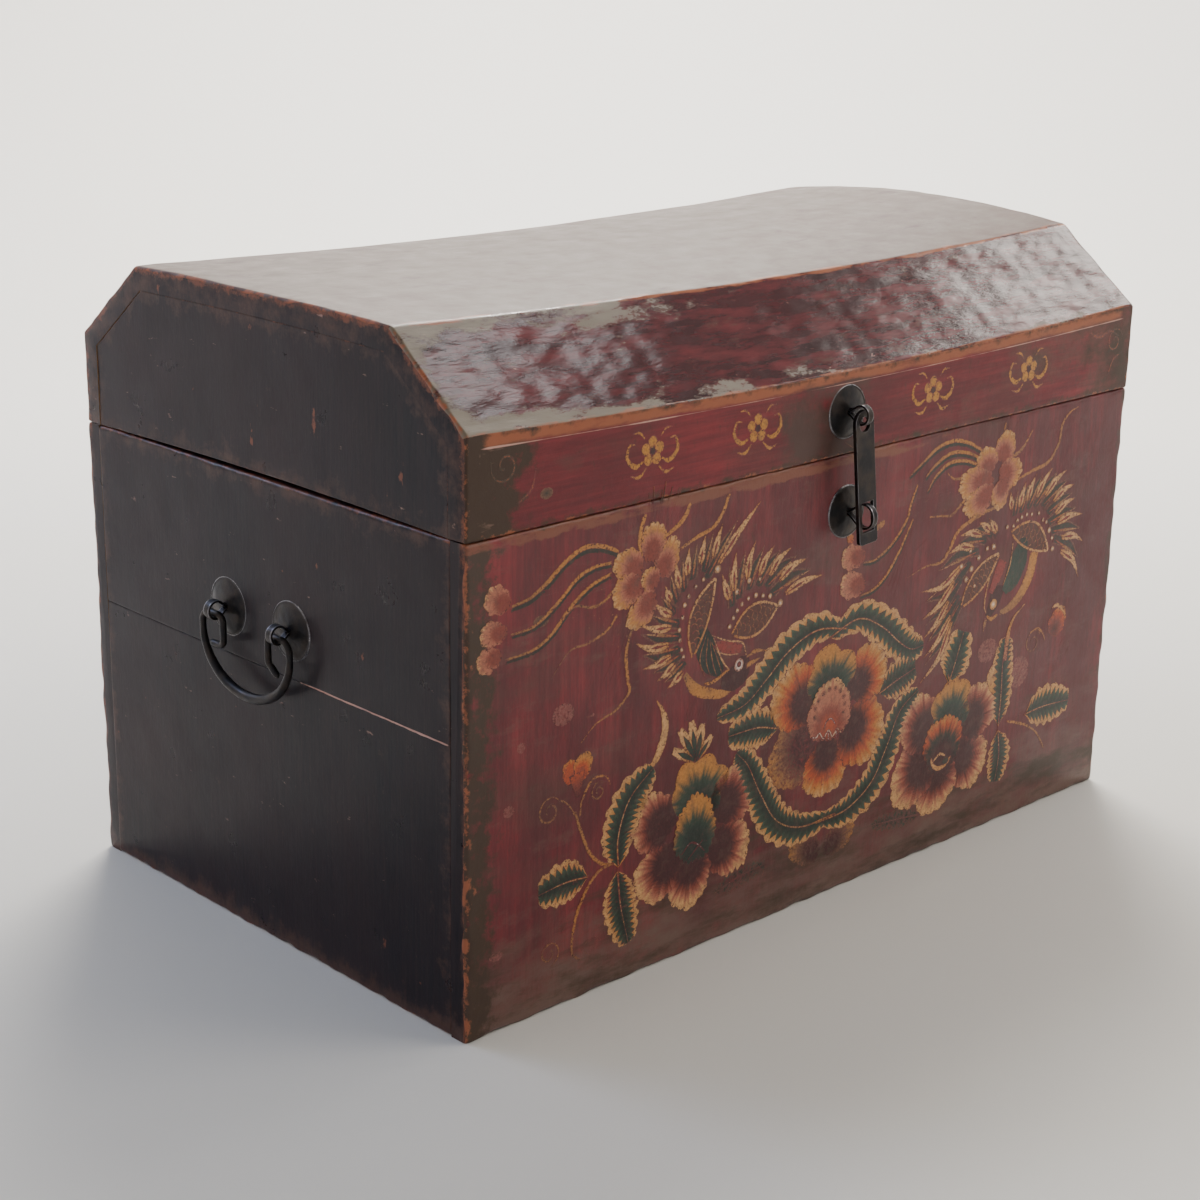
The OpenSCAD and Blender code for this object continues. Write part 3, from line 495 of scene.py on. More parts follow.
def panel(name, node, slot, materials, height, origin, way, out, half_s, low_t, high_t, radii, rims, back, depth_at,
          cuts=()):
    """Board whose face is a grid along s and up t. Its height over the face's plane is height(points) less the
    drop of its rounded rims, whose radius wanders. radii are those of the ends, the bottom and the top; rims adds
    to the distance from the same three, as the edge attribute. Behind the face the outline has the heights in
    back, at the depths that depth_at gives for the places along s. A cut is a place along s where they jump."""
    way, out, up = np.array(way, float), np.array(out, float), np.array([0.0, 0, 1])
    s = spaced(-half_s, half_s, FACE_STEP, FACE_EASE)
    s = np.sort(np.concatenate([s] + [[-c - 0.01, -c + 0.01, c - 0.01, c + 0.01] for c in cuts]))
    t = spaced(low_t, high_t, FACE_STEP, FACE_EASE)
    S, T = np.meshgrid(s, t, indexing="ij")
    flat = np.array(origin) + S[..., None] * way + T[..., None] * up
    wander = 1 + 0.45 * swell(flat, 22, 5)
    h = height(flat)
    gaps = (half_s - abs(S), T - low_t, high_t - T)
    for gap, radius in zip(gaps, radii):
        h = h - eased(gap, radius * wander)
    face = flat + h[..., None] * out
    behind = (np.array(origin) + s[:, None, None] * way + np.array(back)[None, :, None] * up
              - depth_at(np.abs(s))[..., None] * out)
    rings = np.concatenate([face, behind], 1)
    rim = np.minimum.reduce([gap + extra for gap, extra in zip(gaps, rims)] + [np.full(S.shape, FAR)])
    edge = np.concatenate([rim, np.full((len(s), len(back)), FAR)], 1)
    kinds = np.array([0] * (len(t) - 1) + [1] + [2] * len(back))
    stand_in(carried(name, rings, kinds, 1, materials, edge), node, "box", slot)


def long_board(name, node, slot, materials, height, side, radii, rims):
    """Front or back board: thinner at its ends, where the end planks lap it, and rebated for the bottom."""
    lap = HALF_D - END_Y
    back = [BODY_H, BOTTOM_T + 0.02, BOTTOM_T, 0.0]
    bottom_end = HALF_L - END_T + BOTTOM_LAP

    def depth_at(s):
        inner = np.where(s > HALF_L - END_T, lap, BOARD_T)
        foot = np.where(s > bottom_end, lap, BOTTOM_LAP)
        return np.stack([inner, inner, foot, foot], 1)

    panel(name, node, slot, materials, height, (0, side * HALF_D, 0), (1, 0, 0), (0, side, 0), HALF_L, 0, BODY_H,
          radii, rims, back, depth_at, (HALF_L - END_T, bottom_end))


def end_plank(name, node, slot, materials, height, side, low, high, radii, rims):
    """Plank of an end, rebated for the bottom where it stands on the ground."""
    back = [high, BOTTOM_T + 0.02, BOTTOM_T, 0.0] if low == 0 else [high, low]
    depths = [END_T, END_T, END_T - BOTTOM_LAP, END_T - BOTTOM_LAP] if low == 0 else [END_T, END_T]

    def depth_at(s):
        return np.broadcast_to(depths, (len(s), len(depths)))

    panel(name, node, slot, materials, height, (side * HALF_L, 0, 0), (0, 1, 0), (side, 0, 0), END_Y, low, high,
          radii, rims, back, depth_at)


# Boards of the lid

RAIL_H = 72.5
SLOPE_RISE = 62.0
SLOPE_RUN = 78.0
LID_T = 18.0
LID_SAG = 7.5
CROWN = (2.0, 10.0)        # rise of the top's middle at the left and right end
GABLE_RELIEF = 3.0
TOP_EDGE_R = 9.0
RAIL_EDGE_R = 4.0
LID_EDGE_R = 2.0
LID_SEED = 51              # one seed for all of the lid, so that the paint on it follows its boards


def unit(v):
    """Vectors of length 1 along v."""
    v = np.asarray(v, float)
    return v / np.linalg.norm(v, axis=-1, keepdims=True)


def sideways(path):
    """Unit normals on the left of a line."""
    way = unit(np.gradient(path, axis=0))
    return np.stack([-way[:, 1], way[:, 0]], 1)


def inner_corner(a, p, b, t):
    """Corner at p of a board of thickness t that follows a, p, b: p moved by t along the mean of both normals."""
    first, second = unit(p - a), unit(b - p)
    n1, n2 = np.array([first[1], -first[0]]), np.array([second[1], -second[0]])
    return p + t * (n1 + n2) / (1 + n1 @ n2)


def corner_arc(a, p, b, r, n=12):
    """Arc of radius r that rounds the corner at p, in n steps from the side of a to the side of b."""
    u, v = unit(a - p), unit(b - p)
    half = math.acos(u @ v) / 2
    c = p + unit(u + v) * r / math.sin(half)
    start = u * r / math.tan(half) + p - c
    full = math.pi - 2 * half
    turn = np.linspace(0, full, n + 1) * (-1 if u[0] * v[1] - u[1] * v[0] > 0 else 1)
    return c + np.stack([start[0] * np.cos(turn) - start[1] * np.sin(turn),
                         start[0] * np.sin(turn) + start[1] * np.cos(turn)], 1)


RAIL_FOOT = np.array([-HALF_D, LID_Z])
RAIL_TOP = np.array([-HALF_D, LID_Z + RAIL_H])
SLOPE_TOP = np.array([-HALF_D + SLOPE_RUN, LID_Z + RAIL_H + SLOPE_RISE])
OVER_TOP = np.array([0, SLOPE_TOP[1]])
INNER_FOOT = np.array([-HALF_D + LID_T, LID_Z])
INNER_RAIL_TOP = inner_corner(RAIL_FOOT, RAIL_TOP, SLOPE_TOP, LID_T)
INNER_SLOPE_TOP = inner_corner(RAIL_TOP, SLOPE_TOP, OVER_TOP, LID_T)
FOOT_ARC = corner_arc(INNER_FOOT, RAIL_FOOT, RAIL_TOP, LID_EDGE_R, 6)
RAIL_ARC = corner_arc(RAIL_FOOT, RAIL_TOP, SLOPE_TOP, RAIL_EDGE_R)
TOP_ARC = corner_arc(RAIL_TOP, SLOPE_TOP, OVER_TOP, TOP_EDGE_R)


def settled(x, y, z, sag, crown):
    """Points of the lid: z less its share of the sag (a parabola along x, none where the gables hold it), plus its
    share of the crown, which grows evenly from the left gable to the right one."""
    u = x / HELD_X
    drop = LID_SAG * np.maximum(0, 1 - u * u)
    rise = CROWN[0] + (CROWN[1] - CROWN[0]) * (1 + np.clip(u, -1, 1)) / 2
    return np.stack(np.broadcast_arrays(x, y, z - sag * drop + crown * rise), -1)


def lid_height(points, wrinkle=0):
    """Unevenness of the lid's skin in millimetres: slow swell, and the folds of lifted cloth where wrinkle is 1."""
    slow = 0.30 * swell(points, 150, LID_SEED) + 0.12 * swell(points, 50, LID_SEED + 1)
    folds = 0.34 * swell(points, 34, LID_SEED + 2, (3.2, 1, 1)) + 0.20 * swell(points, 15, LID_SEED + 3, (2.8, 1, 1))
    pits = 0.12 * swell(points, 8, LID_SEED + 4, (2.2, 1, 1), 14)
    taut = 1 - 0.6 * smooth(points[..., 0], -260, -60) * (1 - smooth(points[..., 0], 130, 300))
    return SKIN + slow + wrinkle * taut * (folds + pits)


def lid_board(name, node, slot, materials, side, outer, inner, wrinkle, radius):
    """Board of the lid, carried along x. outer and inner are rows of y, z, share of the sag, share of the crown
    and, for outer, the distance to its nearest worn rim. Its skin stands out along the outline's normals."""
    x = spaced(-HALF_L, HALF_L, 2.6 if wrinkle else 3.4, 3.0)
    x = np.sort(np.concatenate([x, [-HELD_X, HELD_X]]))
    section = np.concatenate([outer[:, :4], inner], 0) * np.array([side, 1, 1, 1])
    rings = settled(x[:, None], section[None, :, 0], section[None, :, 1], section[None, :, 2], section[None, :, 3])
    normal = np.insert(sideways(section[:len(outer), :2]), 0, 0, axis=1)
    normal *= np.sign((normal[len(outer) // 2, 1:] @ (outer[len(outer) // 2, :2] * [side, 1] - [0, LID_Z])) or 1)
    m = len(outer)
    ends = HALF_L - np.abs(x)[:, None]
    wander = 1 + 0.4 * swell(rings[:, :m], 20, LID_SEED + 7)
    fold = wrinkle * smooth(outer[None, :, 4], 0.0, 9.0) * smooth(ends, 0.0, 12.0)
    h = lid_height(rings[:, :m], fold) - eased(ends, radius * wander)
    rings[:, :m] += h[..., None] * normal[None]
    rim = np.minimum(np.minimum(outer[None, :, 4], ends), FAR)
    edge = np.concatenate([rim, np.where(ends < 1, 9.0, FAR) * np.ones(len(inner))], 1)
    kinds = np.array([0] * (m - 1) + [1] + [2] * (len(inner) - 1) + [1])
    stand_in(carried(name, rings, kinds, 1, materials, edge, sharp=40), node, "lid", slot)


def rows(points, sag, crown, rim):
    """Section rows: y, z, share of the sag, share of the crown and distance to the nearest worn rim."""
    return np.stack(np.broadcast_arrays(points[:, 0], points[:, 1], sag, crown, rim), 1)


def rail_rows():
    """Outside of a rail from its foot to the middle of its mitre's arc; the sag grows from none at the foot."""
    upright = along(FOOT_ARC[-1], RAIL_ARC[0], 3.0)
    sag = (upright[:, 1] - upright[0, 1]) / np.ptp(upright[:, 1])
    rim = np.minimum(upright[:, 1] - LID_Z, RAIL_TOP[1] - upright[:, 1] + 2)
    outer = np.concatenate([rows(FOOT_ARC[:-1], 0, 0, 0.5), rows(upright, sag, 0, rim),
                            rows(RAIL_ARC[1:7], 1, 0, 2)])
    return outer, rows(np.array([INNER_RAIL_TOP, INNER_FOOT]), [1, 0], 0, 0)[:, :4]


def slope_rows():
    """Outside of a slope from the middle of its lower mitre's arc to that of its upper one."""
    face = along(RAIL_ARC[-1], TOP_ARC[0], 2.4)
    length = np.linalg.norm(face - face[0], axis=1)
    rim = np.minimum(length, length[-1] - length) + 1.5
    outer = np.concatenate([rows(RAIL_ARC[6:-1], 1, 0, 0.5), rows(face, 1, 0, rim), rows(TOP_ARC[1:7], 1, 0, 0.5)])
    return outer, rows(np.array([INNER_SLOPE_TOP, INNER_RAIL_TOP]), 1, 0, 0)[:, :4]


def crowned(y, z, half):
    """Rows of a top's face over y: the crown's share is 1 less the square of y over half."""
    return np.stack([y, np.full(len(y), z), np.ones(len(y)), 1 - (y / half) ** 2], 1)


def top_rows():
    """Outside of the top, from one mitre's arc over the crowned face to the other, and its inside."""
    half = -TOP_ARC[-1, 0]
    y = along([-half], [half], 3.4)[:, 0]
    face = np.concatenate([crowned(y, SLOPE_TOP[1], half), (half - np.abs(y) + 4)[:, None]], 1)
    arc = rows(TOP_ARC[6:-1], 1, 0, 1.0)
    other = arc[::-1] * [-1, 1, 1, 1, 1]
    inner_half = -INNER_SLOPE_TOP[0]
    return np.concatenate([arc, face, other]), crowned(along([inner_half], [-inner_half], 9)[:, 0],
                                                       INNER_SLOPE_TOP[1], inner_half)


def gable(name, node, slot, materials, height, side):
    """Gable between the lid's boards. Its face is a grid over y and the share of its height there: it stands on a
    shallow arch and its top follows the inner faces of the slopes and of the crowned top."""
    end = side * HALF_L
    y = np.unique(np.concatenate([spaced(INNER_FOOT[0], -INNER_FOOT[0], 3.2, 2.0),
                                  [INNER_SLOPE_TOP[0], -INNER_SLOPE_TOP[0]]]))
    rise = CROWN[1] if side > 0 else CROWN[0]
    flat_top = INNER_SLOPE_TOP[1] + rise * (1 - (y / INNER_SLOPE_TOP[0]) ** 2)
    slant = np.interp(np.abs(y), [-INNER_SLOPE_TOP[0], -INNER_RAIL_TOP[0]], [INNER_SLOPE_TOP[1], INNER_RAIL_TOP[1]])
    roof = np.where(np.abs(y) < -INNER_SLOPE_TOP[0], flat_top, slant)
    foot = LID_Z + GABLE_RELIEF * (1 - (y / INNER_FOOT[0]) ** 2)
    v = spaced(0, 1, 0.03, 0.02)
    z = foot[:, None] + (roof - foot)[:, None] * v
    flat = np.stack(np.broadcast_arrays(end, y[:, None], z), -1)
    gap = np.minimum(np.minimum(z - foot[:, None], roof[:, None] - z), (-INNER_FOOT[0] - np.abs(y))[:, None])
    flat[..., 0] += side * (height(flat) - eased(gap, 0.7))
    back = np.stack(np.broadcast_arrays(end - side * GABLE_T, y[:, None], np.stack([roof, foot], 1)), -1)
    edge = np.concatenate([np.minimum(gap + 1.5, FAR), np.full((len(y), 2), FAR)], 1)
    kinds = np.array([0] * (len(v) - 1) + [1, 2, 1])
    stand_in(carried(name, np.concatenate([flat, back], 1), kinds, 1, materials, edge), node, "lid", slot)


# Iron fittings

def rounded_band(width, thick, r, n=4):
    """Outline of a flat band with rounded corners, n steps a corner: width along the first axis."""
    a = np.linspace(0, math.pi / 2, n + 1)
    corner = np.stack([np.cos(a), np.sin(a)], 1) * r
    spots = [(1, 1), (-1, 1), (-1, -1), (1, -1)]
    parts = []
    for k, (sx, sy) in enumerate(spots):
        turn = np.array([[math.cos(k * math.pi / 2), -math.sin(k * math.pi / 2)],
                         [math.sin(k * math.pi / 2), math.cos(k * math.pi / 2)]])
        parts.append(corner @ turn.T + [sx * (width / 2 - r), sy * (thick / 2 - r)])
    return np.concatenate(parts)


def arc(c, r, start, end, n):
    """Points of an arc round c, from one angle to another in degrees."""
    a = np.radians(np.linspace(start, end, n + 1))
    return np.stack([c[0] + r * np.cos(a), c[1] + r * np.sin(a)], 1)


BEAD_W = 2.2
BEAD_H = 0.35
DENTS = 0.09      # depth of the hammer marks on a disc
DENTS_ROD = 0.10  # and on a handle


def disc_rings(d, high, thick, hole, seed):
    """Domed disc turned round its axis: the profile is a cap of a sphere, its rim a small raised bead, its back the
    same cap a sheet's thickness lower, and it carries shallow hammer marks."""
    ball = (d * d / 4 + high * high) / (2 * high)
    r = np.concatenate([np.linspace(hole, d / 2 - BEAD_W, 16), np.linspace(d / 2 - 1.8, d / 2 - 0.1, 6)])
    bead = BEAD_H * np.sin(np.clip((r - d / 2 + BEAD_W) / BEAD_W, 0, 1) * math.pi)
    z = np.sqrt(ball * ball - r * r) - ball + high + bead
    rim = np.array([[d / 2, 0.35], [d / 2 - 0.05, 0.02], [d / 2 - 1.5, 0.02]])
    under_r = np.linspace(d / 2 - 2.6, hole, 8)
    under = np.sqrt((ball - thick) ** 2 - under_r ** 2) - ball + high
    profile = np.concatenate([np.stack([r, z], 1), rim, np.stack([under_r, np.maximum(under, 0.05)], 1)])
    turn = np.radians(np.arange(0, 360, 3.75))[:, None]
    rings = np.stack(np.broadcast_arrays(profile[:, 0] * np.cos(turn), profile[:, 0] * np.sin(turn),
                                         profile[:, 1]), -1).copy()
    m = len(r) - 4
    rings[:, 1:m, 2] += DENTS * swell(rings[:, 1:m], 7, seed)
    # the rim bead takes the bright iron: partly wear, partly painted highlight
    kinds = np.array([0] * (len(r) - 4) + [1] * 5 + [0] * (len(profile) - len(r) - 1))
    return rings, kinds


BAND = 2.0            # thickness of a split pin's band at the eye
LEG_THINNER = 0.16    # less in its legs
LEG_W = 5.0           # width of a leg in the wall
TAIL = 14.0           # reach of a clinched tail
NECK = 4.5            # height at which the legs part to form the eye
BEND = 1.6            # radius of the clinch's middle line


def pin_rings(eye_r, band_w, off, wall):
    """Split pin: a rounded band carried from one clinched tail up its leg, round the eye and down again. The legs
    run beside each other, and straight lines touch the eye's circle."""
    r = eye_r + BAND / 2
    leg = (BAND + LEG_THINNER) / 2
    p, c = np.array([leg, NECK]), np.array([0.0, off])
    reach = np.linalg.norm(p - c)
    towards = math.atan2(p[1] - c[1], p[0] - c[0])
    touch = math.degrees(towards + math.acos(r / reach))
    foot = -wall - BAND / 2
    half = np.concatenate([along([TAIL, foot], [leg + BEND, foot], 2.0),
                           arc((leg + BEND, foot + BEND), BEND, 270, 180, 5)[1:],
                           along([leg, foot + BEND + 1], [leg, NECK], 2.5),
                           arc(c, r, touch, 90, 20)])
    path = np.concatenate([half, (half * [-1, 1])[::-1][1:]])
    n = sideways(path)
    eye = smooth(path[:, 1], NECK - 1, NECK + 5)
    width = LEG_W + (band_w - LEG_W) * eye
    thick = (BAND - LEG_THINNER) + LEG_THINNER * eye
    profile = rounded_band(1.0, 1.0, 0.16)
    across = profile[None, :, 0] * width[:, None]
    out = profile[None, :, 1] * thick[:, None]
    return np.stack([across, path[:, 0:1] + n[:, 0:1] * out, path[:, 1:2] + n[:, 1:2] * out], -1)


def handle_path(p, turn):
    """Centre line of half a handle in its plane, from the hook's tip, turned back by turn degrees, through its
    return, pivot and arm to the middle of the grip, half an ellipse; with it the rod's radius there."""
    tip_x, low = p["return_y"] + p["tip_bend"], -p["return_bend"] - p["return_l"]
    tip = arc((tip_x, low), p["tip_bend"], 180 + turn, 180, 8)
    way = np.array([math.sin(math.radians(turn)), -math.cos(math.radians(turn))])
    top = p["arm_bend"] + p["arm_straight"]
    grip = np.radians(np.linspace(90, 0, 40))
    bow = np.stack([p["arm_y"] * np.sin(grip), -top - (p["drop"] - top) * np.cos(grip)], 1)
    path = np.concatenate([
        along(tip[0] + p["tip"] * way, tip[0], 1.5)[:-1], tip,
        along(tip[-1], [p["return_y"], -p["return_bend"]], 2)[1:-1],
        arc((p["return_y"] + p["return_bend"], -p["return_bend"]), p["return_bend"], 180, 90, 10),
        along([p["return_y"] + p["return_bend"], 0], [p["arm_y"] - p["arm_bend"], 0], 2)[1:-1],
        arc((p["arm_y"] - p["arm_bend"], -p["arm_bend"]), p["arm_bend"], 90, 0, 12),
        along([p["arm_y"], -p["arm_bend"]], [p["arm_y"], -top], 2)[1:-1], bow])
    r = np.full(len(path), p["rod"])
    r[-len(bow):] = p["rod"] - 0.1 + (p["grip"] - p["rod"] + 0.1) * np.cos(grip)
    r[:3] = p["rod"] * np.array([0.45, 0.8, 0.97])
    return path, r


def rod_rings(path, r, sides=20):
    """Round rod of radius r carried along a path in the plane of Y and Z, X across it."""
    n = sideways(path)
    a = np.radians(np.arange(sides) * 360 / sides)
    c, s = np.cos(a) * r[:, None], np.sin(a) * r[:, None]
    return np.stack([s, path[:, 0:1] + n[:, 0:1] * c, path[:, 1:2] + n[:, 1:2] * c], -1)


# Painted ornament

def curve(points, n):
    """n places on a smooth line through points: a Catmull-Rom cubic on each span, the end points reflected."""
    p = np.asarray(points, float)
    p = np.concatenate([2 * p[:1] - p[1:2], p, 2 * p[-1:] - p[-2:-1]])
    t = np.linspace(0, len(p) - 3, n)
    k = np.minimum(t.astype(int), len(p) - 4)
    f = (t - k)[:, None]
    a, b, c, d = p[k], p[k + 1], p[k + 2], p[k + 3]
    return (2 * b + (c - a) * f + (2 * a - 5 * b + 4 * c - d) * f ** 2 + (3 * b - a - 3 * c + d) * f ** 3) / 2


def length_of(points):
    """Length of the line through points."""
    return np.linalg.norm(np.diff(np.asarray(points, float), axis=0), axis=1).sum()


def blend(hues, t):
    """Colours at the shares t, from 0 to 1, of a row of the paint's colours, given by their names."""
    row = np.array([getattr(bpy.context.scene.trunk_paint, name)[:3] for name in hues.split()])
    return np.stack([np.interp(t, np.linspace(0, 1, len(row)), channel) for channel in row.T], -1)


def flake(grid, tint, lift, wear):
    """One touch of paint: its grid of x and z, its colours, its height over the ground and its share worn off."""
    border = np.concatenate([grid[0, :], grid[1:, -1], grid[-1, -2::-1], grid[-2:0:-1, 0]])
    rim = np.sqrt(((grid[:, :, None] - border[None, None]) ** 2).sum(-1)).min(-1)
    return {"grid": grid, "tint": np.broadcast_to(tint, grid.shape[:2] + (3,)), "lift": lift, "rim": rim,
            "wear": wear}


def line(points, widths, hues, lift, wear=0.3, n=None, across=3):
    """Brush line along a smooth curve; its width and its colour run through the values given."""
    path = curve(points, n or int(np.clip(length_of(points) / 2.2, 5, 60)))
    u = np.linspace(0, 1, len(path))
    half = np.interp(u, np.linspace(0, 1, len(widths)), widths) / 2
    v = np.linspace(-1, 1, across)
    grid = path[:, None] + sideways(path)[:, None] * (half[:, None] * v)[..., None]
    return flake(grid, blend(hues, u)[:, None], lift, wear)


def disc_grid(n):
    """Points of a unit disc from a square's grid: x times the root of 1 less half of y squared, and the same of y."""
    a = np.linspace(-1, 1, n)
    x, y = np.meshgrid(a, a, indexing="ij")
    return np.stack([x * np.sqrt(1 - y * y / 2), y * np.sqrt(1 - x * x / 2)], -1)


def turned(points, degrees):
    """Points turned round the origin."""
    a = math.radians(degrees)
    return points @ np.array([[math.cos(a), math.sin(a)], [-math.sin(a), math.cos(a)]])


def petal(centre, along_r, across_r, heading, hues, lift, wear, scallops, depth, seed, n=33):
    """Petal: a disc drawn out along its heading, its rim scalloped by bows of a sine. Its colour runs through hues
    with the distance from a point near its base, in streaks that fan out from there."""
    rng = np.random.default_rng(seed)
    p = disc_grid(n)
    r = np.linalg.norm(p, axis=-1)
    angle = np.arctan2(p[..., 1], p[..., 0])
    bows = 1 + depth * np.abs(np.sin(angle * scallops / 2 + rng.uniform(0, 3))) * r ** 3
    bows *= 1 + (0.05 * np.sin(3 * angle + rng.uniform(0, 6)) + 0.03 * np.sin(7 * angle + rng.uniform(0, 6))) * r
    away = p + [0.5, 0]
    fan = np.arctan2(away[..., 1], away[..., 0])
    streak = sum(np.cos(fan * k + rng.uniform(0, 6)) for k in (13, 23, 37, 49)) / 4
    tone = (np.linalg.norm(away, axis=-1) / 1.5) ** 1.3 * (1 + 0.30 * streak)
    grid = np.array(centre) + turned(p * bows[..., None] * [along_r, across_r], heading)
    return flake(grid, blend(hues, np.clip(tone, 0, 1)), lift, wear)


def dab(centre, r, hues, lift, wear, n=7, squash=1.0):
    """Round dab of paint, its colour running from the middle to the rim."""
    p = disc_grid(n)
    grid = np.array(centre) + p * np.array([r, r * squash])
    return flake(grid, blend(hues, np.linalg.norm(p, axis=-1)), lift, wear)


def leaf(midrib, left, right, lift, wear, teeth, core, seed, light="ochre ochre cream"):
    """Serrated leaf in three layers: the pale blade with round teeth, the green core feathered into it, and the
    midrib. The half widths on both sides swell as the root of a sine; the core's teeth lean towards the tip."""
    n = int(np.clip(length_of(midrib) / 0.9, 36, 130))
    path = curve(midrib, n)
    u = np.linspace(0, 1, n)
    v = np.linspace(-1, 1, 15)
    body = np.sqrt(np.maximum(np.sin(math.pi * u ** 0.85), 0)) + 0.02
    tangent = unit(np.gradient(path, axis=0))
    taper = np.where(u > 0.9, (1 - u) / 0.1, 1.0)
    lean = tangent[:, None] * (np.abs(v) * left * 0.32 * taper[:, None])[..., None]
    blades = []
    for part, bite, height, hues in ((1.0, 0.20, 0.0, light),
                                     (core * 1.28, 0.5, 0.05, "leaf_dark leaf_dark leaf leaf_light")):
        if height:
            saw = (u * teeth * 1.9 + 0.13 * seed) % 1
        else:
            saw = np.abs(np.sin(math.pi * (u * teeth + 0.13 * seed))) * (0.8 + 0.2 * np.sin(u * teeth * 5.1))
        cut = body * part * (1 - bite * (1 - saw))
        half = 1.14 * np.where(v[None] > 0, left, right) * cut[:, None]
        grid = path[:, None] + sideways(path)[:, None] * (half * v)[..., None] + lean
        blades.append(flake(grid, blend(hues, np.abs(v))[None], lift + height, wear))
    return blades + [line(midrib, (1.6, 1.4, 0.5), "ochre cream ochre", lift + 0.11, wear + 0.1)]


def spiral(centre, r, start, turns, width, hues, lift, wear):
    """Curl whose radius shrinks evenly with its angle."""
    a = np.radians(start) + np.linspace(0, 1, 14) * turns * 2 * math.pi
    reach = r * (1 - 0.82 * np.linspace(0, 1, 14))
    points = np.array(centre) + np.stack([np.cos(a), np.sin(a)], 1) * reach[:, None]
    return line(points, (width * 0.5, width, width, width * 0.6), hues, lift, wear)


def rays(centre, inner, outer, start, end, count, width, hues, seed):
    """Hair lines fanned out round a centre, their ends uneven."""
    rng = np.random.default_rng(seed)
    fan = []
    for a in np.radians(np.linspace(start, end, count) + rng.uniform(-2, 2, count)):
        way = np.array([math.cos(a), math.sin(a)])
        near, far = inner * rng.uniform(0.8, 1.25), outer * rng.uniform(0.7, 1.05)
        fan.append(line([np.array(centre) + way * near, np.array(centre) + way * far],
                        (0.4, width * 1.5, 0.4), hues, 0.06, 0.45, n=5, across=2))
    return fan


def bowed(base, tip, bow):
    """Middle of a feather that bows to one side by a share of its length."""
    way = tip - base
    return (base + tip) / 2 + np.array([-way[1], way[0]]) * bow


def quill(base, tip, bow, width):
    """Light feather: a cream blade that bows to one side and thins to its tip, a red core and a white fleck."""
    base, tip = np.array(base, float), np.array(tip, float)
    middle = bowed(base, tip, bow)
    width = width * 1.55
    inner = base + (middle - base) * 0.15
    return [line([base, middle, tip], (width * 0.45, width, width * 0.8, width * 0.45, 0.4),
                 "ochre cream cream ochre", 0.16, 0.28, across=4),
            line([inner, base + (middle - base) * 0.7, middle], (0.4, width * 0.34, 0.3), "red_paint", 0.21, 0.28),
            line([base, inner + (middle - base) * 0.12], (0.8, 0.5), "white", 0.24, 0.45, n=5, across=2)]


def vane(base, tip, bow, width):
    """Dark feather between two light ones: a blackish green blade with a brown outline."""
    middle = bowed(base, tip, bow)
    return [line([base, middle, tip], (width, width * 0.9, 0.4), "brown_line", 0.08, 0.35),
            line([base, middle, base + (tip - base) * 0.93], (width * 0.7, width * 0.55, 0.3), "vane", 0.12, 0.3)]


SCALE = 7.5             # width of a painted scale
ROW_GAP = 0.62 * SCALE  # from one row of scales to the next


def scales(a, b, left, right):
    """Wing patch: a lens between two bows, dark inside with rows of scale arcs, and an ochre outline."""
    a, b = np.array(a, float), np.array(b, float)
    side = unit(np.array([-(b - a)[1], (b - a)[0]]))
    u = np.linspace(0.004, 0.996, 25)[:, None]
    v = np.linspace(-1, 1, 15)[None]
    bulge = np.where(v > 0, left, right) * v * 4 * u * (1 - u)
    grid = a + (b - a) * u[..., None] + side * bulge[..., None]
    parts = [flake(grid, blend("wing", np.abs(v) + 0 * u), 0.10, 0.2)]
    length = np.linalg.norm(b - a)
    way = (b - a) / length
    turn = np.radians(np.linspace(-80, 80, 7))
    arch = SCALE / 2 * (way * np.cos(turn)[:, None] + side * np.sin(turn)[:, None])
    for row in range(int(length / ROW_GAP)):
        s = (row + 0.6) * ROW_GAP
        room = 4 * s / length * (1 - s / length)
        for k in range(-3, 4):
            t = (k + 0.5 * (row % 2)) * SCALE
            if -right * room + 2.2 < t < left * room - 2.2:
                parts.append(line(a + way * s + side * t + arch, (0.9, 1.1, 0.9), "brown_gold", 0.16, 0.25, n=8))
    rim = np.concatenate([grid[:, -1], grid[::-1, 0], grid[:1, -1]])[::3]
    return parts + [line(rim, (2.2, 2.4, 2.2), "ochre cream ochre", 0.2, 0.2, n=60)]


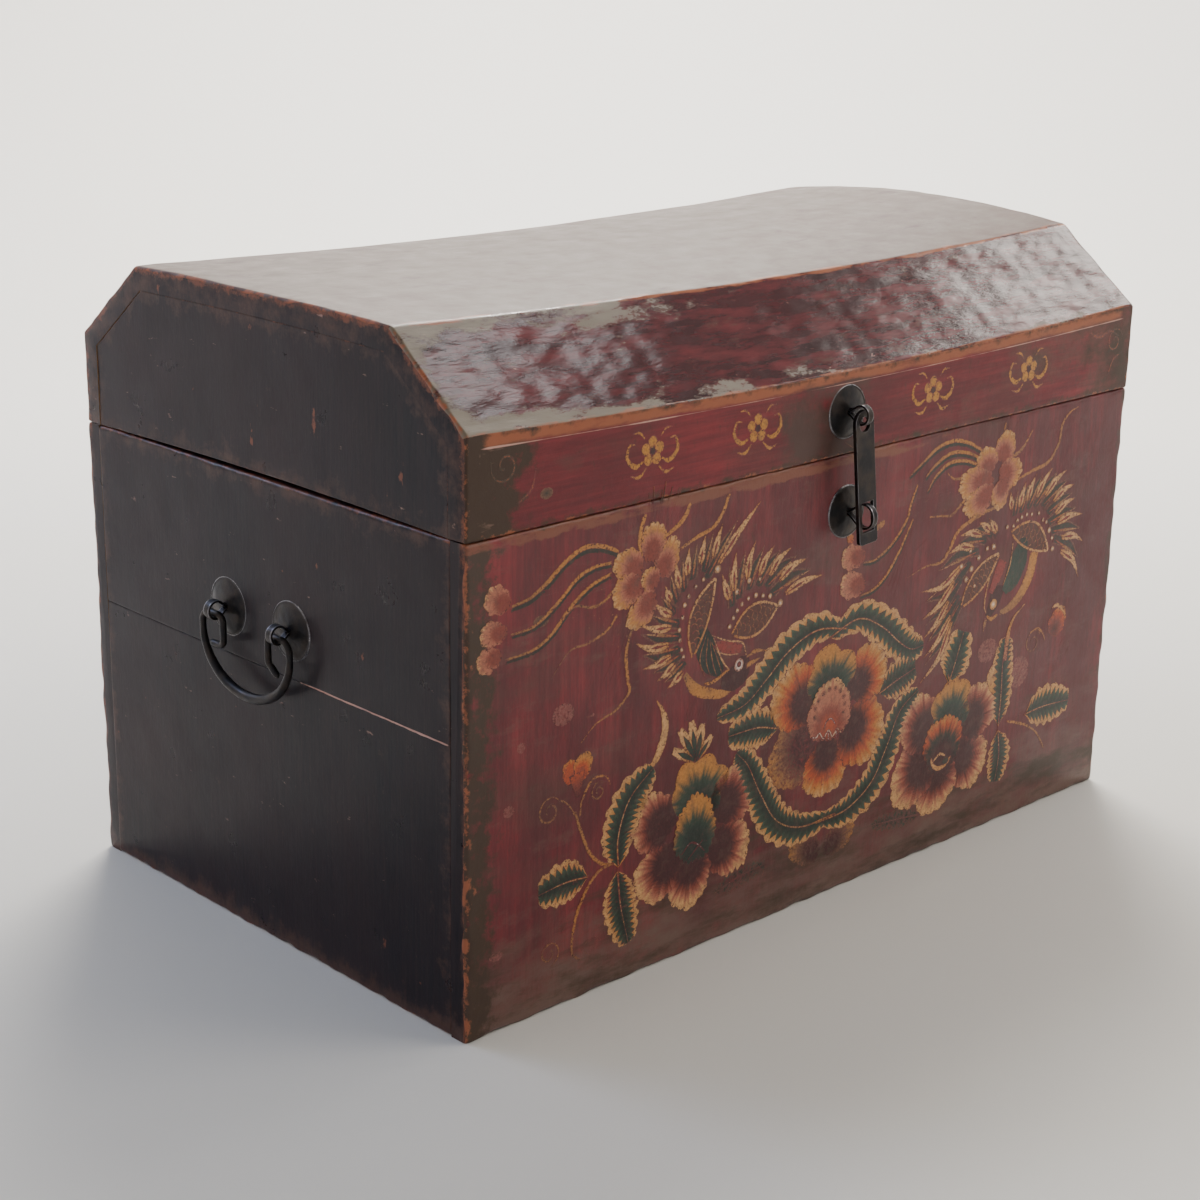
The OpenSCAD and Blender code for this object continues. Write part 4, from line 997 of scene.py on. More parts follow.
def worn_paint(tree, place, ground):
    """Paint brushed over lacquer, then worn: each touch keeps its brush streaks, and where it has rubbed off the
    ground of the board itself shows."""
    q = bpy.context.scene.trunk_paint
    tint, wear, rim = (add(tree, "Attribute", attribute_name=name) for name in ("tint", "wear", "rim"))
    streaks = add(tree, "TexNoise", {"Vector": place, "Scale": 1 / (1.6 * MM), "Detail": 5.0, "Roughness": 0.7})
    shade = add(tree, "MapRange", {"Value": streaks.outputs[0], "From Min": 0.3, "From Max": 0.7,
                                   "To Min": 0.66, "To Max": 1.22})
    tint = add(tree, "VectorMath", {0: tint.outputs["Color"], "Scale": shade.outputs[0]}, operation="SCALE")
    speck = add(tree, "MapRange", {"Value": rim.outputs["Fac"], "From Min": 6.0, "From Max": 1.0, "To Min": 0.0,
                                   "To Max": 0.36})
    haze = layers(tree, place, tint.outputs[0],
                  (bpy.context.scene.trunk_lacquer.umber, 9, 0.14, 0.35, ALL_WAYS, 0.7, 0.9),
                  (q.wine, 1.7, speck.outputs[0], 0.1, ALL_WAYS, 0.6, 0.4))
    frayed = add(tree, "MapRange", {"Value": rim.outputs["Fac"], "From Min": 0.9, "From Max": 0.0, "To Min": 0.0,
                                    "To Max": q.fray})
    lost = add(tree, "Math", {0: wear.outputs["Fac"], 1: frayed.outputs[0]}, operation="ADD")
    paint = layers(tree, place, haze, (ground, 3.2, lost.outputs[0], 0.14, ALL_WAYS, 0.75, 0.15))
    bump = brushed(tree, place, (2.2, 0.10, (1, 1, 0.3)), (14, 0.35, ALL_WAYS))
    satin_skin(tree, place, paint, bump, 25, 0.34, 0.52)


@finish("oil colours on lacquer, worn")
def oil_colours(tree, place, p):
    """Oil colours of the painting on the front board, worn."""
    worn_paint(tree, place, front_ground(tree, place, p))


@finish("ochre gilt on lacquer, worn")
def fascia_gilt(tree, place, p):
    """Ochre gilt on the lid's fascia, worn."""
    worn_paint(tree, place, fascia_ground(tree, place, p))


def loose(touches):
    """Touches of nested lists, one after the other."""
    for touch in touches:
        yield from loose(touch) if isinstance(touch, list) else (touch,)


def painted(name, touches, body, material, height, low_z, high_z):
    """Lays touches of paint on the upright front. Each is a closed flake: its grid lies at its lift over the
    board's own height, a rim runs down from its border, and one face closes it under the lacquer."""
    points, tint, rim, wear, quads, sheets, start = [], [], [], [], [], [], 0
    for touch in loose(touches):
        grid = touch["grid"]
        n, m = grid.shape[:2]
        flat = np.stack([grid[..., 0], np.full((n, m), -HALF_D), grid[..., 1]], -1)
        top = flat.copy()
        top[..., 1] -= height(flat) + touch["lift"]
        index = np.arange(n * m).reshape(n, m)
        loop = np.concatenate([index[0, :-1], index[:-1, -1], index[-1, :0:-1], index[:0:-1, 0]])
        under = top.reshape(-1, 3)[loop].copy()
        under[:, 1] += touch["lift"] + 0.12
        k = np.arange(len(loop))
        foot = n * m + k
        after = np.roll(k, -1)
        quads.append(start + np.stack([index[:-1, :-1], index[:-1, 1:], index[1:, 1:], index[1:, :-1]],
                                      -1).reshape(-1, 4))
        quads.append(start + np.stack([loop[after], loop[k], foot[k], foot[after]], 1))
        sheets.append((start + foot)[::-1])
        points += [top.reshape(-1, 3), under]
        tint += [touch["tint"].reshape(-1, 3), touch["tint"].reshape(-1, 3)[loop]]
        rim += [touch["rim"].ravel(), np.zeros(len(loop))]
        wear.append(np.full(n * m + len(loop), touch["wear"]))
        start += n * m + len(loop)
    points, tint, rim, wear = (np.concatenate(part) for part in (points, tint, rim, wear))
    edge = np.minimum.reduce([HALF_L - np.abs(points[:, 0]), points[:, 2] - low_z + 6,
                              high_z - points[:, 2] + 8, np.full(len(points), FAR)])
    sizes = sorted({len(sheet) for sheet in sheets})
    faces = [np.concatenate(quads)] + [np.array([s for s in sheets if len(s) == count]) for count in sizes]
    kinds = [np.zeros(len(block), int) for block in faces]
    tint = np.concatenate([tint, np.ones((len(tint), 1))], 1)
    piece = put_mesh(name, points, faces, kinds, [material],
                     {"tint": tint, "rim": rim, "wear": wear, "edge": edge}, sharp=60)
    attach(piece, body)


def flower(petals, lift, wear, hues, seed, scallops=17, depth=0.08):
    """Petals of one flower; each is a centre, two radii and a heading."""
    return [petal(*place, hues, lift + 0.02 * k, wear, scallops, depth, seed + k) for k, place in enumerate(petals)]


ROSY = "wine wine wine rose_dark rose cream cream"
WORN = "wine wine brown_line brown_gold ochre"
GREEN = "leaf_dark leaf_dark leaf ochre ochre"
TAIL_HUES = "rose_dark rose_dark rose ochre cream"


def scuffs():
    """Places where the red is rubbed or knocked off down to the primer, and the dark head of a plug."""
    spots = (((-290, 228), 11, 0.8), ((-330, 213), 4.5, 1), ((-341, 168), 6, 0.8), ((252, 135), 15, 1),
             ((205, 165), 14, 0.8), ((-262, 221), 3, 0.7), ((-352, 60), 7, 0.6))
    return [
        [dab(spot, r, "scuff", 0.03, 0.44, 13, squash) for spot, r, squash in spots],
        dab((-312, 302), 7.5, "vane brown_line", 0.03, 0.2, 9, 0.6)]


def centre_peony():
    """Large peony in its wreath of four leaves."""
    return [
        flower([((-42, 132), 27, 28, 200)], 0.05, 0.42, WORN, 3),
        flower([((-2, 112), 24, 25, -90), ((42, 132), 27, 29, -25), ((44, 182), 25, 24, 35),
                ((-43, 181), 26, 27, 150)], 0.06, 0.26, "wine wine orange ochre cream", 5),
        petal((0, 190), 23, 25, 90, GREEN, 0.12, 0.2, 4, 0.2, 8),
        petal((0, 160), 25, 25, 90, "orange rose_dark rose rose cream", 0.3, 0.12, 30, 0.06, 9),
        [dab((18 * math.cos(a), 161 + 18 * math.sin(a)), 2.3, "wine rose", 0.36, 0.2)
         for a in np.radians(np.arange(-20, 210, 23))],
        line([(-21, 143), (-15, 141), (-11, 144), (-6, 138), (0, 144), (5, 137), (10, 143), (16, 138), (21, 144)],
             (1.2, 2, 1.2), "white cream", 0.4, 0.35),
        line([(-6, 146), (-3, 152), (3, 153), (8, 147)], (1, 1.6, 1), "white", 0.4, 0.35),
        line([(0, 144), (0, 134)], (1.6, 0.8), "white", 0.4, 0.4),
        line([(9, 143), (10, 134)], (1.6, 0.8), "white", 0.4, 0.4),
        leaf([(16, 226), (-20, 232), (-52, 222), (-76, 205), (-100, 190), (-132, 186)], 14, 18, 0.1, 0.2, 11, 0.6, 1),
        leaf([(-6, 222), (30, 231), (60, 218), (83, 200), (100, 190), (116, 190)], 17, 15, 0.11, 0.22, 10, 0.6, 2),
        leaf([(14, 68), (-28, 68), (-58, 82), (-78, 110), (-94, 138), (-108, 152)], 17, 15, 0.1, 0.2, 14, 0.66, 3),
        leaf([(-10, 66), (28, 68), (58, 84), (76, 112), (90, 138), (113, 152)], 15, 17, 0.11, 0.22, 14, 0.66, 4),
        leaf([(-60, 160), (-85, 167), (-118, 168)], 17, 16, 0.12, 0.2, 6, 0.6, 5),
        leaf([(60, 160), (85, 167), (107, 172)], 18, 16, 0.12, 0.3, 6, 0.66, 6),
        flower([((-22, 48), 20, 15, 150), ((20, 47), 20, 14, 30)], 0.03, 0.42, WORN, 12),
        leaf([(-128, 40), (-100, 46), (-68, 48)], 9, 10, 0.03, 0.55, 5, 0.8, 7, "vane vane brown_line"),
        leaf([(125, 36), (95, 40), (60, 44)], 9, 9, 0.03, 0.5, 5, 0.8, 8, "vane vane brown_line")]


def calyx():
    """Five pointed green sepals with pale rims over the left peony."""
    foot = np.array([-152, 157])
    return [[line([foot, (foot + tip) / 2, tip], (3, w * 0.8, w, w * 0.6), "leaf ochre cream cream", 0.12, 0.22,
                  across=7),
             line([foot, (foot + tip) / 2, foot + (tip - foot) * 0.8], (2, w * 0.55, 0.4), "leaf_dark leaf leaf",
                  0.17, 0.22, across=5)]
            for *tip, w in ((-178, 172, 9), (-171, 187, 10), (-159, 191, 10), (-147, 186, 10), (-136, 174, 8))]


def left_spray():
    """Peony at the left with its leaves, stems, bud and curls."""
    return [
        flower([((-113, 75), 24, 23, -20), ((-157, 61), 23, 23, -95), ((-191, 76), 24, 22, 205),
                ((-197, 120), 24, 23, 150), ((-109, 119), 25, 23, 35)], 0.06, 0.24, ROSY, 21),
        petal((-148, 132), 25, 26, 90, GREEN, 0.14, 0.2, 6, 0.2, 28),
        petal((-151, 101), 26, 21, 90, GREEN, 0.28, 0.2, 26, 0.12, 27),
        line([(-165, 84), (-156, 91), (-147, 87), (-140, 80)], (1, 1.8, 0.8), "white", 0.34, 0.55),
        line([(-158, 78), (-150, 84), (-142, 90)], (0.8, 1.4, 0.6), "white", 0.34, 0.6),
        calyx(),
        leaf([(-232, 92), (-233, 118), (-222, 145), (-198, 164)], 17, 19, 0.12, 0.2, 9, 0.6, 9),
        line([(-203, 163), (-194, 172), (-187, 190), (-189, 204), (-197, 217)], (3.5, 8, 7, 0.8),
             "ochre cream cream ochre", 0.16, 0.25, across=5),
        leaf([(-233, 92), (-229, 62), (-220, 28)], 16, 17, 0.12, 0.28, 8, 0.6, 10),
        leaf([(-262, 95), (-285, 97), (-312, 95)], 16, 17, 0.12, 0.24, 5, 0.62, 11),
        line([(-237, 97), (-250, 102), (-262, 114), (-271, 134), (-277, 150)], (2.6, 3.2, 3, 2.4),
             "ochre brown_gold", 0.18, 0.25),
        line([(-237, 98), (-250, 97), (-262, 88), (-272, 72), (-277, 55), (-278, 38), (-269, 30)],
             (2.6, 3.4, 3, 2.4), "brown_gold ochre brown_line", 0.18, 0.3),
        petal((-281, 182), 10, 9, 110, "rose_dark orange orange ochre", 0.14, 0.28, 6, 0.03, 31),
        petal((-270, 184), 11, 9, 70, "rose_dark orange ochre ochre", 0.16, 0.28, 6, 0.03, 32),
        line([(-276, 180), (-275, 170), (-274, 160)], (16, 10, 3), "orange rose_dark wine", 0.18, 0.34, across=5),
        spiral((-302, 157), 12, 30, 1.6, 2.4, "brown_gold brown_line", 0.12, 0.35),
        line([(-293, 164), (-284, 158), (-277, 148), (-273, 140)], (2, 2.2), "brown_gold", 0.12, 0.35),
        spiral((-254, 160), 8, 60, 1.5, 2.2, "brown_gold brown_line", 0.12, 0.35),
        line([(-272, 145), (-270, 158), (-260, 171), (-247, 170), (-242, 162)], (2.2, 2.6, 1), "brown_gold ochre",
             0.12, 0.3),
        spiral((-301, 45), 11, -80, 1.5, 2.4, "brown_gold brown_line", 0.12, 0.4),
        spiral((-259, 37), 9, 20, 1.3, 2, "brown_line", 0.08, 0.55)]


def right_spray():
    """Peony at the right with its leaves, stems, bud and curls."""
    return [
        flower([((188, 69), 26, 24, -30), ((143, 58), 24, 28, -90), ((112, 74), 28, 27, 205),
                ((116, 121), 27, 25, 140), ((199, 113), 25, 24, 35)], 0.06, 0.24, ROSY, 41),
        petal((160, 124), 24, 23, 90, GREEN, 0.14, 0.2, 6, 0.2, 48),
        petal((151, 93), 25, 24, 90, "wine wine leaf_dark orange ochre", 0.28, 0.22, 26, 0.1, 47),
        line([(136, 84), (140, 76), (148, 72), (158, 74), (163, 80)], (2.5, 4.5, 4, 2), "cream ochre", 0.34, 0.3,
             across=5),
        line([(139, 80), (147, 85), (156, 82)], (1.4, 3.4, 2), "cream", 0.36, 0.3),
        dab((156, 77), 4.5, "leaf leaf_dark", 0.38, 0.25, squash=0.7),
        leaf([(153, 146), (160, 162), (170, 190)], 21, 19, 0.12, 0.2, 5, 0.6, 49),
        line([(152, 156), (155, 150), (162, 147)], (1, 2.2, 1.4), "ochre", 0.2, 0.2),
        leaf([(228, 90), (229, 115), (228, 150), (231, 172)], 14, 15, 0.12, 0.26, 9, 0.62, 13),
        line([(216, 150), (212, 140), (217, 130), (224, 122)], (5, 11, 12, 8), "cream ochre", 0.15, 0.25, across=5),
        line([(231, 150), (232, 170), (238, 186), (255, 198)], (5, 6, 3.5, 0.6), "rose ochre cream", 0.18, 0.3,
             across=5),
        leaf([(228, 88), (232, 62), (229, 38)], 15, 15, 0.12, 0.3, 7, 0.62, 14),
        leaf([(265, 92), (295, 93), (332, 90)], 19, 17, 0.12, 0.24, 6, 0.62, 15),
        line([(240, 92), (258, 86), (275, 78), (288, 68), (300, 52)], (2.6, 3.2, 2.2, 2.2), "ochre brown_gold", 0.18,
             0.3),
        line([(252, 90), (272, 101), (285, 118)], (1.6, 1.6, 1), "brown_line", 0.1, 0.5),
        petal((304, 170), 14, 12, 60, "wine rose_dark orange ochre", 0.14, 0.36, 9, 0.08, 51),
        line([(294, 184), (301, 186), (311, 180), (316, 172)], (2, 4.5, 4, 2), "cream ochre", 0.2, 0.3),
        spiral((270, 158), 12, 20, 1.6, 2.2, "brown_gold brown_line", 0.12, 0.4),
        line([(264, 168), (275, 170), (284, 163), (288, 156)], (1.6, 3, 1), "ochre brown_gold", 0.13, 0.3),
        spiral((320, 143), 10, 80, 1.4, 1.8, "brown_line", 0.1, 0.6)]


def wing(quills, dots, width):
    """Quills with dark vanes between them, and pale dabs at their feet. Each quill is a base, tip and bow."""
    t = []
    for (base, tip, bow), (base_2, tip_2, _) in zip(quills[:-1], quills[1:]):
        foot = (np.array(base, float) + base_2) / 2
        way = (np.array(tip, float) + tip_2) / 2 - foot
        t += vane(foot - way * 0.35, foot + way * 0.92, bow, width * 2.1)
        t.append(line([foot + way * reach for reach in (-0.25, 0.25, 0.84)], (0.8, width * 0.62, 0.4),
                      "orange brown_gold cream", 0.14, 0.28))
    return t + [quill(*feather, width) for feather in quills] + [
        dab(dot, r, "white cream brown_line", 0.3, 0.15) for dot, r in dots]


def streamer(points, width, bud=()):
    """Tail plume: an ochre line over a dark green one, with a rosy bud at its end."""
    lower = np.array(points, float) - [0, width * 0.55]
    t = [line(lower, (width * 0.8, width, width, width * 0.6), "vane leaf_dark vane", 0.08, 0.22),
         line(points, (width * 0.6, width * 0.8, width * 0.75, width * 0.4), "ochre ochre brown_gold", 0.14, 0.25)]
    if bud:
        t.append(petal(*bud, "rose_dark rose_dark rose rose cream", 0.18, 0.28, 9, 0.1, 61))
    return t


def left_phoenix():
    """Phoenix at the left, flying down to the right."""
    centre = (-205, 318)
    wisp = "ochre brown_gold brown_line"
    return [
        rays(centre, 32, 62, 40, 150, 30, 0.7, "rose brown_line", 71),
        rays(centre, 34, 88, 205, 250, 14, 0.8, "rose cream brown_line", 72),
        rays(centre, 38, 112, 166, 202, 13, 0.7, "brown_gold rose brown_line", 73),
        streamer([(-238, 338), (-255, 345), (-272, 347), (-290, 340), (-306, 329), (-322, 321), (-340, 318)], 5,
                 ((-352, 325), 12, 10, 150)),
        streamer([(-245, 331), (-262, 331), (-278, 326), (-298, 311), (-318, 300), (-340, 298)], 4,
                 ((-356, 302), 12, 9, 175)),
        streamer([(-245, 323), (-265, 318), (-285, 306), (-300, 292), (-318, 283), (-345, 281)], 4,
                 ((-360, 284), 11, 9, 190)),
        line([(-240, 312), (-252, 304), (-265, 302), (-280, 306), (-292, 298)], (2.6, 2.8, 1), wisp, 0.12),
        line([(-238, 292), (-250, 281), (-268, 276), (-285, 274), (-302, 258)], (2.4, 2.6, 0.8), wisp, 0.12),
        line([(-222, 282), (-229, 262), (-227, 240), (-225, 230), (-238, 219), (-258, 213), (-275, 200)],
             (2.6, 3.8, 3, 2.2, 0.6), "brown_gold ochre brown_gold ochre", 0.12),
        line([(-216, 328), (-218, 345), (-213, 361)], (3.2, 4, 3.6), "ochre", 0.12, 0.22),
        line([(-198, 338), (-180, 346), (-172, 352), (-167, 361)], (2.2, 4, 4.4, 3.4), "ochre", 0.12, 0.22),
        line([(-176, 328), (-158, 334), (-142, 338), (-132, 348), (-126, 361)], (2.4, 3.6, 3.4, 3), "ochre", 0.12,
             0.22),
        flower([((-189, 324), 15, 11, 60), ((-204, 339), 14, 12, 85), ((-228, 325), 15, 12, 150),
                ((-229, 307), 15, 12, 195), ((-214, 289), 16, 11, 215), ((-206, 311), 9, 9, 150)],
               0.16, 0.16, TAIL_HUES, 81, 13, 0.1),
        wing([((-136, 308), (-91, 349), 0.02), ((-141, 314), (-132, 339), 0.02), ((-155, 312), (-150, 334), 0),
              ((-168, 306), (-167, 327), 0.02), ((-175, 298), (-181, 320), 0.03), ((-184, 290), (-191, 303), 0.03),
              ((-183, 279), (-202, 292), 0.05), ((-183, 270), (-215, 278), 0.07), ((-185, 257), (-221, 266), 0.1),
              ((-183, 248), (-212, 244), 0.06), ((-178, 241), (-197, 231), 0.05), ((-170, 233), (-186, 223), 0.05)],
             [((-136, 305), 3.6), ((-151, 300), 1.8), ((-159, 296), 1.8), ((-166, 290), 2), ((-170, 284), 2.3),
              ((-172, 275), 2), ((-175, 266), 2), ((-174, 258), 2), ((-172, 250), 1.8), ((-170, 244), 1.8)],
             5),
        wing([((-122, 278), (-131, 300), 0), ((-117, 284), (-116, 315), 0.04), ((-103, 290), (-95, 319), 0.08),
              ((-90, 290), (-73, 312), 0.08), ((-78, 288), (-55, 306), 0.1), ((-67, 282), (-35, 294), 0.1),
              ((-60, 270), (-16, 277), 0.06)], [((-121, 257), 2.2), ((-117, 263), 2), ((-113, 268), 2),
                                                ((-108, 272), 2), ((-114, 283), 2.6), ((-101, 275), 2),
                                                ((-101, 289), 2.6), ((-93, 276), 2.4), ((-85, 274), 2.2),
                                                ((-89, 288), 1.8), ((-77, 272), 2.4), ((-65, 264), 3.2)], 5.2),
        line([(-168, 230), (-157, 216), (-142, 209), (-125, 205), (-108, 211)], (5, 10, 9, 7, 3),
             "brown_gold ochre ochre brown_gold", 0.1, 0.2, across=6),
        [line([(x, z), (x - 3, z - 6)], (1.2, 0.4), "rose", 0.08, 0.5, n=5, across=2)
         for x, z in zip(np.linspace(-162, -112, 16), 206 - 8 * np.sin(np.linspace(0.4, 2.7, 16)))],
        line([(-128, 214), (-116, 214), (-106, 218), (-103, 230)], (10, 20, 20, 10), "wine", 0.11, 0.1, across=7),
        line([(-150, 262), (-146, 246), (-138, 232), (-128, 222)], (8, 22, 20, 8), "leaf_dark leaf_dark", 0.14, 0.12,
             across=7),
        [line([(-146 + k, 256 - 1.2 * k), (-152 + 3.4 * k, 238 - 1.2 * k), (-146 + 3.1 * k, 222 - 0.2 * k)],
              (0.5, 1.2, 0.6), "ochre brown_gold", 0.2, 0.25) for k in range(0, 9, 2)],
        line([(-146, 217), (-136, 217), (-120, 223)], (2, 3, 1.6), "ochre", 0.22, 0.15),
        line([(-138, 252), (-128, 232), (-119, 222)], (0.8, 1.6, 0.8), "cream", 0.22, 0.2),
        line([(-136, 246), (-122, 241), (-106, 236)], (5, 12, 6), "red_paint", 0.16, 0.15, across=5),
        line([(-140, 254), (-122, 246), (-106, 241), (-101, 230)], (0.8, 1.6, 1.6, 0.8), "cream", 0.22, 0.2),
        line([(-134, 240), (-122, 235), (-110, 233)], (0.7, 1.4, 0.7), "cream", 0.22, 0.2),
        line([(-101, 228), (-90, 231), (-77, 228)], (1.5, 4, 0.6), "brown_gold ochre", 0.18, 0.2),
        line([(-101, 221), (-92, 223), (-85, 224)], (5, 3.4, 0.6), "ochre brown_gold", 0.18, 0.2),
        dab((-109, 224), 5.2, "red_paint white rose", 0.3, 0.08, n=9),
        dab((-109, 224.5), 2.4, "red_paint wine", 0.36, 0.08),
        scales((-160, 241), (-138, 298), 15, 5),
        scales((-118, 250), (-68, 262), 13, 12)]


def right_phoenix():
    """Phoenix at the right, flying down to the left."""
    centre = (190, 318)
    wisp = "ochre brown_gold ochre"
    return [
        rays(centre, 40, 112, 165, 205, 16, 0.7, "rose brown_gold brown_line", 101),
        rays(centre, 36, 70, 20, 75, 12, 0.6, "rose brown_line", 102),
        rays((60, 345), 10, 70, 150, 215, 10, 0.5, "brown_gold brown_line", 103),
        rays((95, 300), 6, 70, 190, 250, 16, 0.5, "brown_gold brown_line", 104),
        streamer([(178, 345), (160, 354), (140, 359), (120, 357), (105, 350), (84, 339)], 4.4),
        streamer([(176, 339), (155, 347), (135, 349), (116, 342), (104, 334)], 4.2),
        streamer([(175, 333), (155, 340), (135, 341), (118, 333), (108, 322)], 4),
        streamer([(95, 330), (88, 315), (84, 303), (68, 287), (48, 277), (32, 277)], 3.6, ((19, 284), 14, 10, 170)),
        streamer([(92, 302), (78, 280), (62, 261), (46, 252), (30, 250)], 3.6, ((20, 261), 15, 11, 165)),
        petal((15, 300), 5, 4, 120, "orange ochre", 0.14, 0.3, 5, 0.05, 111, n=11),
        petal((50, 304), 7, 3, 20, "brown_gold ochre", 0.14, 0.35, 5, 0.05, 112, n=11),
        line([(214, 335), (225, 334), (236, 340), (247, 353)], (3, 4, 1.4), wisp, 0.12),
        line([(232, 312), (252, 316), (272, 320), (285, 334), (288, 350), (297, 359), (310, 363)],
             (2.4, 4, 3.6, 3, 1.2), wisp, 0.12),
        line([(133, 333), (142, 327), (152, 326), (164, 330)], (1.4, 3, 3.6), wisp, 0.12),
        line([(112, 300), (128, 298), (142, 296), (152, 302), (162, 309)], (1.4, 3, 3.4), wisp, 0.12),
        line([(206, 292), (190, 291), (170, 287), (152, 280), (142, 266), (132, 258), (112, 258), (88, 253)],
             (2.6, 4.6, 4.2, 3, 0.8), "brown_gold ochre brown_gold", 0.12),
        line([(205, 352), (208, 364)], (2.2, 2.6), "ochre", 0.12),
        flower([((210, 343), 13, 13, 70), ((185, 334), 12, 14, 110), ((219, 319), 15, 13, 0),
                ((172, 318), 22, 13, 175), ((178, 302), 20, 12, 195), ((207, 303), 13, 11, 250)],
               0.16, 0.16, TAIL_HUES, 121, 13, 0.1),
        wing([((225, 286), (222, 302), 0), ((236, 286), (243, 308), 0.04), ((247, 290), (257, 312), 0.06),
              ((259, 290), (279, 314), 0.06), ((272, 290), (301, 309), 0.08), ((284, 283), (314, 294), 0.08),
              ((288, 271), (316, 281), 0.08), ((292, 262), (330, 264), 0.08), ((300, 248), (334, 238), 0.1),
              ((300, 236), (331, 205), 0.12)], [((220, 272), 2.2), ((229, 271), 2), ((234, 275), 2), ((240, 277), 2),
                                                ((247, 278), 2), ((254, 277), 2), ((264, 276), 2), ((271, 269), 2),
                                                ((276, 266), 2), ((281, 258), 2.8), ((286, 250), 2),
                                                ((288, 240), 2.6)], 5.2),
        wing([((206, 270), (194, 284), -0.04), ((197, 272), (180, 283), -0.06), ((186, 271), (155, 276), -0.08),
              ((176, 262), (140, 263), -0.1), ((160, 250), (108, 237), 0.14), ((152, 238), (111, 212), 0.1),
              ((146, 222), (116, 196), 0.08), ((150, 208), (117, 178), 0.08), ((152, 203), (114, 156), 0.12)],
             [((160, 249), 2.8), ((171, 260), 2), ((183, 252), 2.6), ((194, 258), 2.4), ((203, 258), 3.2),
              ((174, 244), 3), ((168, 236), 3), ((180, 228), 2)], 5.2),
        line([(262, 242), (258, 224), (246, 207), (230, 198), (218, 196)], (12, 12, 9, 4),
             "ochre ochre brown_gold brown_gold", 0.1, 0.25, across=6),
        [line([(x, z), (x + 4, z - 5)], (1.2, 0.4), "rose", 0.08, 0.5, n=5, across=2)
         for x, z in zip(np.linspace(228, 268, 14), np.linspace(193, 226, 14))],
        line([(214, 222), (210, 210), (204, 200), (200, 196)], (20, 16, 10, 6), "wine", 0.11, 0.1, across=7),
        line([(246, 258), (240, 240), (232, 224), (222, 214)], (10, 26, 22, 8), "leaf_dark leaf", 0.14, 0.15,
             across=7),
        line([(230, 258), (228, 238), (220, 220)], (0.8, 1.8, 0.8), "cream ochre", 0.2, 0.25),
        line([(218, 243), (211, 230), (203, 217)], (12, 12, 6), "red_paint", 0.16, 0.15, across=5),
        line([(212, 250), (202, 236), (197, 220), (196, 206), (199, 200)], (1.4, 2, 1.6, 1), "ochre cream", 0.2,
             0.2),
        line([(200, 197), (207, 193), (216, 196)], (2, 4, 2), "ochre", 0.18, 0.2),
        line([(199, 195), (198, 189), (197, 183)], (5, 4, 1), "brown_gold", 0.16, 0.35),
        dab((208, 206), 4.8, "white cream ochre", 0.3, 0.08, n=9),
        scales((163, 212), (211, 250), 12, 8),
        scales((226, 266), (281, 240), 17, 6)]


def sprig(x, z):
    """Small gilt blossom between two pairs of curling leaves."""
    t = [dab((x + 7 * math.cos(a), z + 7 * math.sin(a)), 4.6, "gilt ochre", 0.12, 0.3)
         for a in np.radians(np.arange(90, 450, 72))]
    t.append(dab((x, z), 2.8, "wine", 0.22, 0.2))
    for side in (-1, 1):
        for leaflet, widths, wear, across in (
                ([(9, -6), (17, -9), (25, -2), (23, 7), (17, 7)], (1.4, 4.4, 3.6, 2.4, 1), 0.3, 4),
                ([(6, -11), (13, -17), (22, -15)], (1.2, 3.4, 0.8), 0.32, 3),
                ([(8, 10), (13, 15), (20, 15)], (1, 2.6, 0.6), 0.34, 3)):
            t.append(line([(x + side * u, z + v) for u, v in leaflet], widths, "gilt ochre", 0.12, wear,
                          across=across))
    return t


SPRIGS_X = (-207, -98, 107, 233)


def fascia_ornament():
    """Four gilt sprigs, faint curls at both ends and the dark head of a plug."""
    z = LID_Z + RAIL_H / 2
    return [
        [sprig(x, z) for x in SPRIGS_X],
        spiral((356, z + 8), 12, 10, 1.4, 2.2, "chip_line", 0.1, 0.46),
        line([(318, z + 20), (333, z + 14), (347, z + 18), (362, z + 12)], (1.5, 3.4, 2.6, 0.8), "chip_line", 0.1,
             0.46),
        line([(350, z - 20), (356, z - 8), (368, z - 3)], (1.2, 3, 1), "chip_line", 0.1, 0.46),
        spiral((-346, z + 12), 13, 160, 1.3, 2.2, "chip_line", 0.1, 0.52),
        line([(-334, z - 16), (-322, z - 8), (-318, z + 6)], (1.2, 3, 1), "chip_line", 0.1, 0.5),
        dab((-308, LID_Z + 23), 6, "vane brown_line", 0.03, 0.2, 9, 0.7)]


# Settings that a user would change

